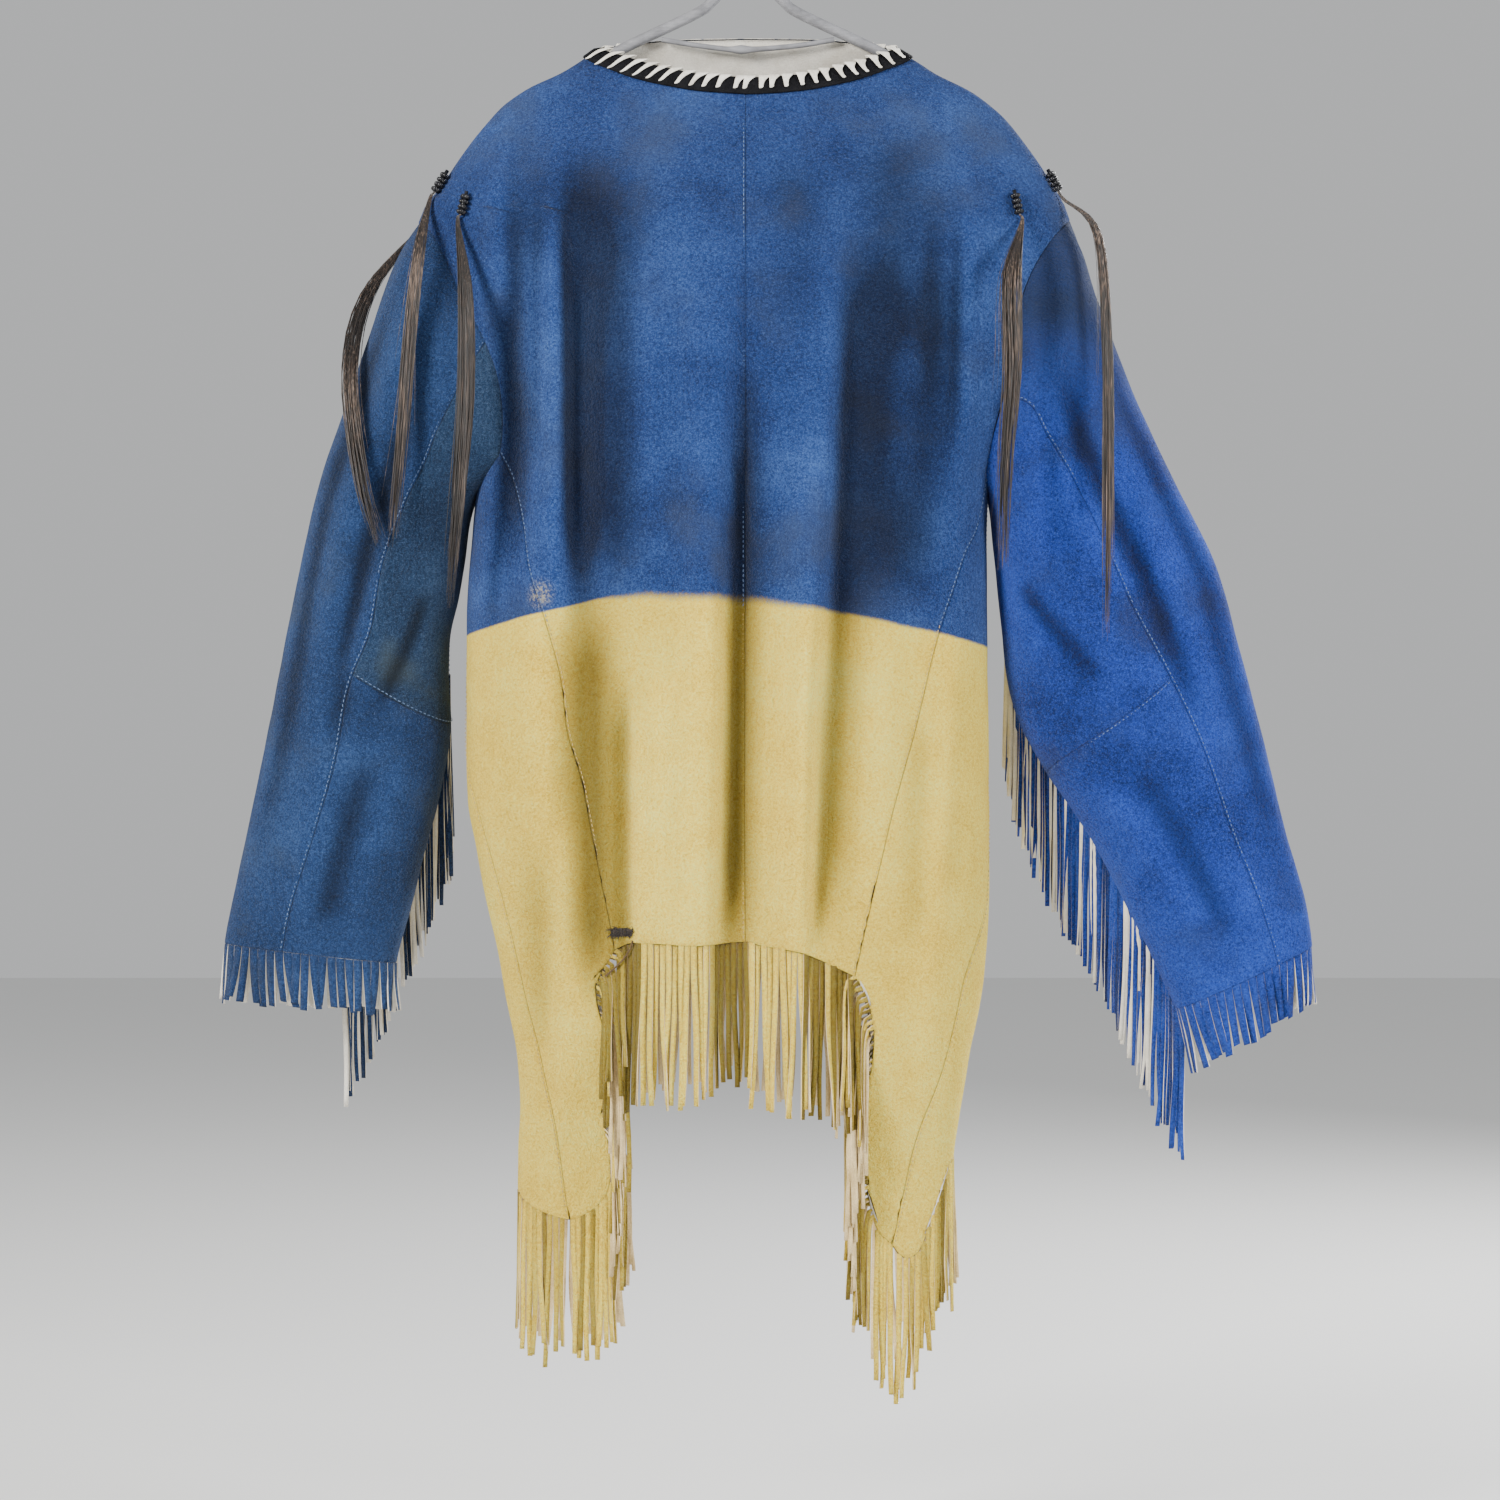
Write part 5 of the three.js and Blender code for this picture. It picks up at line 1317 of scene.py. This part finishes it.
def tab_fringe(side, edge):
    draw = random.Random("tab " + side["name"])
    inwards = Vector((side["sign"], 0, 0))
    shape = bmesh.new()

    def rows_along(stations):
        """Where the strips of an edge start, with the way the edge runs there."""
        places = [body.point(*station) for station in stations]
        for k, along, _ in along_path(places, TAB_STRIP / 2, lambda: TAB_STRIP):
            yield stations[k], places[k], along

    for near, tab_edge, foot in (
            (True, edge["tab_edge"], edge["near_foot"]),
            (False, edge["tab_edge_front"], edge["far_foot"])):
        for (angle, z), root, along in rows_along(foot):
            degrees = math.degrees(angle if side is LEFT else (
                math.pi - angle if near else -math.pi - angle))
            outward = normal_of(body, angle, z)
            low = read(side["tabFringeFoot"], "degrees", degrees, "z") + draw.gauss(0, 5)
            if along.dot(Vector((1, 0, 0))) < 0:
                along = -along
            hang_strip(shape, draw, root + Vector((0, 0, STRIP_LIFT)), outward, z - low,
                       TAB_STRIP * draw.uniform(0.82, 1.02), along, sway=6.5, twist=0.45)
            turn_outwards(shape, outward)
        for (angle, z), root, along in rows_along(tab_edge):
            outward = normal_of(body, angle, z)
            slanted = inwards + Vector((0, 0, LOW_RISE if z < LOW_RISE_Z else RISE))
            length = draw.uniform(TAB_STRIP_SHORTEST, TAB_STRIP_LONGEST)
            length = min(length, z - TAB_STRIP_LOW_Z)
            # Painted shade: the strips out of the inner edges, which loop over, are darkened.
            hang_strip(shape, draw, root - inwards * 0.8, slanted, length,
                       TAB_STRIP * draw.uniform(0.62, 0.9), along, reach=draw.uniform(7, 15),
                       sway=6, twist=0.6, curve=11.0, fold_shade=-0.45)
            turn_outwards(shape, outward)
    fringe_piece(f"tab_strips_{side['name']}", f"tab_fringe_{side['name']}", shape,
                 [body_suede, strip_flesh], "gold_hide")


tab_fringe(LEFT, left_edges)
tab_fringe(RIGHT, right_edges)

# ---------------------------------------------------------------- seams' stitches
# All the seams are closed with small lock stitches of waxed thread, a millimetre or so beside
# the join. The thread has picked up blue where the hide is painted.

STITCH = 2.1
STITCH_PITCH = 4.2
STITCH_BESIDE = 1.8
CENTRE_STITCH_BESIDE = 1.7
STITCH_OUT = 1.25               # how far a stitch stands off the middle of the hide
STITCH_RISE = 0.12              # its middle above that
STITCH_DIP = 0.35               # and its ends below
SKIPPED = 0.04                  # share of the stitches that have worn away
BLUE_FROM_Z = -638              # blue thread is above this at the centre seam
BLUE_DROP = 0.00025             # and above this much less, times the square of x, beside it
THREAD_RADIUS = 0.36


def thread_finish(name, colour, shade):
    return mottled(
        name, [(1300, 2, 0.5), (40, 2, 0.5)], (0.5, 0.5), [(0.35, shade), (0.62, colour)],
        bump=(1, 0), depth=0.0002, roughness=(0.6, 0.2, 0))


threads = [thread_finish("gold_thread", (0.60, 0.44, 0.17), (0.36, 0.25, 0.09)),
           thread_finish("blue_thread", (0.16, 0.24, 0.40), (0.05, 0.09, 0.20))]


def tubes(name, runs, radius, materials, slot, *nodes, sides=0):
    """Round cords through lists of points, as one mesh. A run is its points and the number of
    its material, and a point may carry its own share of the radius as a fourth number."""
    curve = bpy.data.curves.new(name, "CURVE")
    curve.dimensions = "3D"
    curve.bevel_depth = radius * MM
    curve.bevel_resolution = sides
    curve.use_fill_caps = True
    for material in materials:
        curve.materials.append(material)
    for points, material in runs:
        spline = curve.splines.new("POLY")
        spline.points.add(len(points) - 1)
        spline.material_index = material
        for knot, point in zip(spline.points, points):
            knot.co = (point[0] * MM, point[1] * MM, point[2] * MM, 1)
            knot.radius = point[3] if len(point) > 3 else 1
    holder = bpy.data.objects.new(name + "_curve", curve)
    mesh = bpy.data.meshes.new_from_object(holder)
    bpy.data.objects.remove(holder)
    bpy.data.curves.remove(curve)
    mesh.name = name
    mesh.polygons.foreach_set("use_smooth", [True] * len(mesh.polygons))
    piece = bpy.data.objects.new(name, mesh)
    bpy.context.scene.collection.objects.link(piece)
    wear(piece, slot, *nodes)


def stitch_run(surface, edge, beside, seed, skip=SKIPPED):
    """Stitches along an edge of the cut, at a distance beside it on the surface."""
    draw = random.Random(seed)
    runs = []
    spots = [surface.point(*station) for station in edge]
    for k, along, before in along_path(spots, STITCH_PITCH, lambda: STITCH_PITCH):
        if draw.random() < skip:
            continue
        facing = normal_of(surface, *edge[k])
        aside = facing.cross(along).normalized()
        place = spots[k] - along * before + aside * beside
        half = along * (STITCH / 2) + aside * draw.uniform(-0.2, 0.2)
        blue = surface is not body or place.z > BLUE_FROM_Z - BLUE_DROP * place.x ** 2
        runs.append(([
            tuple(place - half + facing * (STITCH_OUT - STITCH_DIP)),
            tuple(place + facing * (STITCH_OUT + STITCH_RISE)),
            tuple(place + half + facing * (STITCH_OUT - STITCH_DIP))], 1 if blue else 0))
    return runs


body_stitches = stitch_run(body, centre_back, CENTRE_STITCH_BESIDE, "centre")
for edges, beside in ((left_edges, -STITCH_BESIDE), (right_edges, STITCH_BESIDE)):
    body_stitches += stitch_run(body, edges["princess"], beside, "princess")
    body_stitches += stitch_run(body, sewn(edges, "tab_seam", "body_seam"), -beside, "side")
tubes("body_seam_stitches", body_stitches, THREAD_RADIUS, threads, "painted")
sleeve_stitches = []
for side in SIDES:
    beside = STITCH_BESIDE * side["sign"]
    for seam, stations in zip(("near", "far"), side["seam_lines"]):
        sleeve_stitches += stitch_run(side["surface"], stations, beside, seam)
    sleeve_stitches += stitch_run(
        side["surface"], side["seam_lines"][2], STITCH_BESIDE, "split", 0)
tubes("sleeve_seam_stitches", sleeve_stitches, THREAD_RADIUS, threads, "painted")

# ---------------------------------------------------------------- hair locks and bead wraps
# Five locks of dark horse hair hang from the shoulders. Each is bound at its root by a few
# turns of small black glass beads and sewn through the hide.

# Where each wrap starts and ends, as degrees from the outline and a height, and its gap to the hide.
BEAD_WRAPS = table("side degrees z degreesLow zLow gap", [
    (LEFT, 10, -250, 13, -270, 0.6), (LEFT, 33, -271, 35, -291, 0.6),
    (LEFT, -13, -262, -15, -282, -0.3),
    (RIGHT, 9, -249, 11, -268, 0.6), (RIGHT, 37, -270, 38, -291, 0.6)])
WRAP_RADIUS = 4.0
BEAD_RADIUS = 2.4
BEADS_ROUND = 5
BEAD_ROWS = 4
WRAP_CORE = 1.7
BEAD_RING = 2.2
BEAD_SQUASH = 0.9
FIRST_BEADS, LAST_BEADS = 0.26, 0.90        # shares of a wrap's length
# How loose each lock's hairs are, then places down its middle and half its spread at each.
HAIR_LOCKS = [
    (0.9, (-284, -56, -320, 6), (-291, -68, -390, 7), (-298, -74, -480, 6), (-308, -74, -583, 3)),
    (0.9, (-243, -76, -360, 7), (-242, -84, -450, 8), (-248, -88, -540, 6), (-257, -86, -634, 2.5)),
    (1.2, (-334, 6, -350, 7), (-346, -42, -425, 8), (-334, -64, -520, 6), (-318, -70, -579, 3)),
    (0.8, (304, -40, -306, 4), (310, -60, -400, 5), (310, -70, -520, 5), (308, -70, -663, 2)),
    (1.4, (225, -82, -350, 11), (225, -93, -430, 10), (220, -96, -510, 6), (217, -94, -601, 2.5))]
HAIR_RADIUS = 0.38
HAIRS = 96
STRAY_HAIRS = 12
HAIR_KNOTS = 18
CORE_SHARE = 0.86               # how far down the lock its core goes
CORE_WIDTH = 0.26               # radius of the core, as a share of half the spread
WISP_SHARE = 0.42               # half width of a wisp, as a share of half the spread
WISP_DEPTH = 0.65               # and its depth, as a share of that
WANDER, STRAY_WANDER = 1.8, 11  # how far the hairs of a lock of looseness 1 drift by their ends
STRAY_THIN = 0.6
WISPS = (-0.6, -0.2, 0.1, 0.75, -0.4, 0.65)     # each lock parts into a few wisps, side by side


horse_hair = mottled(
    "dark_horse_hair", [(700, 2, 0.5, (1, 1, 0.03)), (26, 2, 0.5, (1, 1, 0.3))], (0.65, 0.35),
    [(0.40, (0.006, 0.004, 0.003)), (0.53, (0.026, 0.016, 0.011)), (0.68, (0.17, 0.115, 0.082))],
    bump=(1, 0), depth=0.0002, roughness=(0.36, 0.22, 0), Specular_IOR_Level=0.5, Sheen_Weight=0.1)
black_beads = mottled(
    "black_glass_beads", [(300, 2, 0.5)], (1,),
    [(0.4, (0.004, 0.004, 0.005)), (0.7, (0.02, 0.02, 0.024))],
    bump=(1,), depth=0.0001, roughness=(0.14, 0.14), Specular_IOR_Level=0.35)


def smooth_path(points, share):
    """A place along a list of points, on a smooth curve through them."""
    at = clamp(share, 0.0, 1.0) * (len(points) - 1)
    i = min(int(at), len(points) - 2)
    t = at - i
    b, c = points[i], points[i + 1]
    a = points[i - 1] if i > 0 else b * 2 - c
    d = points[i + 2] if i + 2 < len(points) else c * 2 - b
    return 0.5 * (2 * b + (c - a) * t + (2 * a - 5 * b + 4 * c - d) * t * t
                  + (3 * b - 3 * c + d - a) * t ** 3)


def on_shoulder(wrap, degrees, z):
    place = (from_outline(wrap["side"], degrees), z)
    gap = HIDE / 2 + WRAP_RADIUS + wrap["gap"]
    return body.point(*place, False) + normal_of(body, *place) * gap


def bead_wrap(number, top, foot, draw):
    axis = (foot - top).normalized()
    length = (foot - top).length
    turn = axis.to_track_quat("Z", "Y")
    beads = bmesh.new()

    def put(verts, centre):
        bmesh.ops.rotate(beads, verts=verts, matrix=turn.to_matrix(), cent=(0, 0, 0))
        bmesh.ops.translate(beads, verts=verts, vec=centre * MM)

    put(bmesh.ops.create_cone(
        beads, cap_ends=True, segments=12, radius1=WRAP_CORE * MM, radius2=WRAP_CORE * MM,
        depth=(length - 1) * MM)["verts"], (top + foot) / 2)
    for row in range(BEAD_ROWS):
        for k in range(BEADS_ROUND):
            angle = FULL_TURN * (k + 0.5 * (row % 2)) / BEADS_ROUND + draw.uniform(-0.1, 0.1)
            ring = turn @ Vector((math.cos(angle), math.sin(angle), 0))
            along = length * mix(FIRST_BEADS, LAST_BEADS, row / (BEAD_ROWS - 1))
            bead = bmesh.ops.create_icosphere(
                beads, subdivisions=2, radius=BEAD_RADIUS * MM)["verts"]
            bmesh.ops.scale(beads, verts=bead, vec=(1, 1, BEAD_SQUASH))
            put(bead, top + axis * along + ring * BEAD_RING)
    wear(link(f"beaded_wrap_{number}", beads, [black_beads]), "beads", f"bead_wrap_{number}")


def thinned(k, last, least):
    """A hair's share of its radius at a knot: whole, then thinner over its last few knots."""
    left = HAIR_KNOTS - k
    return 1 if left > last else least + (1 - least) * left / last


def hair_lock(number, foot, axis, looseness, rows, draw):
    middles = [foot, foot + axis * 9] + [Vector(row[:3]) for row in rows]
    spreads = [1.6, 2.6] + [row[3] for row in rows]
    spread_rows = [{"share": k / (len(spreads) - 1), "spread": s} for k, s in enumerate(spreads)]

    def spread_at(share):
        return read(spread_rows, "share", share, "spread")

    runs = []
    for n in range(HAIRS + STRAY_HAIRS):
        stray = n >= HAIRS
        angle = draw.uniform(0, FULL_TURN)
        out = math.sqrt(draw.random())
        end = draw.uniform(0.45, 0.95) if stray else draw.uniform(0.74, 1.0)
        wander = Vector((draw.gauss(0, 1), draw.gauss(0, 0.5), 0))
        wander *= looseness * (STRAY_WANDER if stray else WANDER)
        phase = draw.uniform(0, FULL_TURN)
        wisp = WISPS[n % len(WISPS)]
        points = []
        for k in range(HAIR_KNOTS + 1):
            share = end * k / HAIR_KNOTS
            spread = spread_at(share)
            offset = Vector((math.cos(angle), math.sin(angle) * WISP_DEPTH, 0))
            offset *= spread * out * WISP_SHARE
            offset.x += wisp * spread * min(0.75, 1.9 * share)
            swing = wander * share ** 2
            swing.x += math.sin(phase + 9 * share) * 0.8 * share
            if stray:
                swing.y = -abs(swing.y)
            thin = thinned(k, 3, 0.35) * (STRAY_THIN if stray else 1)
            points.append((*(smooth_path(middles, share) + offset + swing), thin))
        runs.append((points, 0))
    core = []
    for k in range(HAIR_KNOTS + 1):
        share = CORE_SHARE * k / HAIR_KNOTS
        core.append((*smooth_path(middles, share),
                     CORE_WIDTH * spread_at(share) / HAIR_RADIUS * thinned(k, 4, 0.15)))
    runs.append((core, 0))
    tubes(f"hair_strands_{number}", runs, HAIR_RADIUS, [horse_hair], "hair", f"hair_lock_{number}")


for number, (wrap, (looseness, *rows)) in enumerate(zip(BEAD_WRAPS, HAIR_LOCKS), start=1):
    draw = random.Random(100 + number)
    top = on_shoulder(wrap, wrap["degrees"], wrap["z"])
    foot = on_shoulder(wrap, wrap["degreesLow"], wrap["zLow"])
    bead_wrap(number, top, foot, draw)
    hair_lock(number, foot, (foot - top).normalized(), looseness, rows, draw)

# ---------------------------------------------------------------- hem tack
# A tuft of dark fur is tacked over the foot of the left princess seam with a leather thong.

TUFT_LEFT, TUFT_RIGHT = -118, -98
TUFT_LOW_Z, TUFT_TOP_Z = -915, -908
TUFT_HAIRS = 260
TUFT_HAIR_RADIUS = 0.3
TUFT_OUT = 1.6
TUFT_CORDS = (-910, -913)
THONG_RADIUS = 0.8
# Places down the thong, and how far out of the middle of the hide it lies.
THONG = [(-99, -919, 2.4), (-101, -926, 3.2), (-107, -935, 3.0), (-115, -943, 2.6),
         (-123, -950, 2.0)]


def off_back(x, z, out):
    return body.point(*on_back(x, z)) + Vector((0, -out, 0))


tuft_runs = []
draw = random.Random(5)
for n in range(TUFT_HAIRS):
    x = draw.uniform(TUFT_LEFT, TUFT_RIGHT)
    z = draw.uniform(TUFT_LOW_Z, TUFT_TOP_Z)
    root = off_back(x, z, TUFT_OUT)
    way = Vector((draw.gauss(0, 2.6), -draw.uniform(1.0, 2.8), draw.gauss(-0.6, 1.6)))
    tip = root + way + Vector((0, 0.8, -0.8))
    tuft_runs.append(([(*root, 1), (*(root + way * 0.6), 0.9), (*tip, 0.4)], 0))
for height in TUFT_CORDS:
    tuft_runs.append(([(*off_back(x, height, TUFT_OUT), 4)
                       for x in steps(TUFT_LEFT + 1, TUFT_RIGHT - 1, 5)], 0))
tubes("hem_tuft", tuft_runs, TUFT_HAIR_RADIUS, [horse_hair], "hair", "hem_tack")
thong_leather = flesh_finish("brown_thong", (0.16, 0.10, 0.045), (0.05, 0.032, 0.018))
tubes("hem_thong", [([(*off_back(*spot), 1) for spot in THONG], 0)], THONG_RADIUS, [thong_leather],
      "gold_hide", sides=2)

# ---------------------------------------------------------------- hanger
# A bent tube of grey moulded plastic with a thin cross bar and a wire hook coated to match.

ARM_PATH = [(-214, -200), (-196, -186.8), (-165, -168.8), (-112, -138.8), (-46, -107.3),
            (-31, -95.8), (-12, -78.8)]
ARM_RADIUS = 4.8
ARM_KNOTS = 90
BAR_PATH = [(-76, -130), (-42, -135.4), (-6, -138.8), (42, -135.4), (76, -130)]
BAR_RADIUS = 2.4
BAR_KNOTS = 40
HOOK_RADIUS = 20
HOOK_KNOTS = 80
WIRE_RADIUS = 2.0
STEM_PATH = [(0, -72), (0, -52), (2, -44)]

hanger_plastic = mottled(
    "grey_hanger_plastic", [(60, 3, 0.6), (420, 3, 0.6, (0.2, 1, 1))], (0.6, 0.4),
    [(0.35, (0.15, 0.15, 0.16)), (0.65, (0.26, 0.26, 0.275))],
    bump=(1, 0.4), depth=0.0003, roughness=(0.3, 0, 0.25), Specular_IOR_Level=0.5)


def hanger_piece(name, node, slot, path, knots, radius, sides, thickness):
    """A bent rod in the plane of the hanger; thickness gives its share of the radius at a knot."""
    points = [Vector((x, 0, z)) for x, z in path]
    run = [(*smooth_path(points, k / knots), thickness(k)) for k in range(knots + 1)]
    tubes(name, [(run, 0)], radius, [hanger_plastic], slot, node, sides=sides)


hanger_piece("hanger_tube", "hanger_arms", "hanger",
             ARM_PATH + [(-x, z) for x, z in ARM_PATH[::-1]], ARM_KNOTS, ARM_RADIUS, 4,
             lambda k: 1 if 1 < k < ARM_KNOTS - 1 else 0.85)
hanger_piece("hanger_cross_bar", "hanger_bar", "hanger", BAR_PATH, BAR_KNOTS, BAR_RADIUS, 3,
             lambda k: 1 + 0.75 * math.exp(-((k - BAR_KNOTS / 2) / 1.6) ** 2))
hanger_piece("hanger_wire_hook", "hanger_hook", "hook_steel", STEM_PATH + [
    (HOOK_RADIUS * math.cos(math.radians(turn)),
     WIRE_RADIUS + HOOK_RADIUS * (math.sin(math.radians(turn)) - 1))
    for turn in steps(-40, 215, 12)], HOOK_KNOTS, WIRE_RADIUS, 3, lambda k: 1)

# ---------------------------------------------------------------- how the hides hang
# Each hide's cut size before it was sewn, width then length, its area, what it hangs from and the
# fringe, welts, stitches and locks that go with it, only listed: hung() does nothing with them.


def hung(name, width, length, area, rests_on, *with_pieces):
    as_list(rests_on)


hung("back_half_left", 0.31, 0.91, 0.166, ["hanger_tube"], "hem_strips_back", "hem_tuft", "hem_thong",
     "body_seam_stitches", "hair_strands_2", "beaded_wrap_2")
hung("back_half_right", 0.31, 0.94, 0.165, ["hanger_tube"], "body_seam_welts", "hair_strands_5",
     "beaded_wrap_5")
hung("side_panel_left", 0.13, 0.665, 0.058, ["back_half_left"], "tab_strips_left")
hung("side_panel_right", 0.13, 0.685, 0.056, ["back_half_right"], "tab_strips_right")
hung("front_panel", 0.62, 1.19, 0.50, ["hanger_tube"], "hem_strips_front", "armhole_welts",
     "hair_strands_1", "beaded_wrap_1", "hair_strands_3", "beaded_wrap_3", "hair_strands_4",
     "beaded_wrap_4")
hung("neck_band_back", 0.32, 0.015, None, ["back_half_left", "back_half_right"],
     "neck_band_back_lacing")
hung("neck_band_front", 0.32, 0.015, None, ["front_panel"], "neck_band_front_lacing")
hung("sleeve_left_upper_piece", 0.43, 0.66, 0.157, ["front_panel"], "cuff_strips_left",
     "sleeve_strips_left", "sleeve_left_seam_welts", "sleeve_seam_stitches")
hung("sleeve_left_under_piece", 0.17, 0.25, 0.035, ["sleeve_left_upper_piece"])
hung("sleeve_left_gusset_piece", 0.25, 0.32, 0.0315, ["sleeve_left_upper_piece"])
hung("sleeve_right_upper_piece", 0.40, 0.68, 0.172, ["front_panel"], "cuff_strips_right",
     "sleeve_strips_right", "sleeve_right_seam_welts")
hung("sleeve_right_under_piece", 0.18, 0.27, 0.037, ["sleeve_right_upper_piece"])
hung("sleeve_right_gusset_piece", 0.21, 0.335, 0.045, ["sleeve_right_upper_piece"])
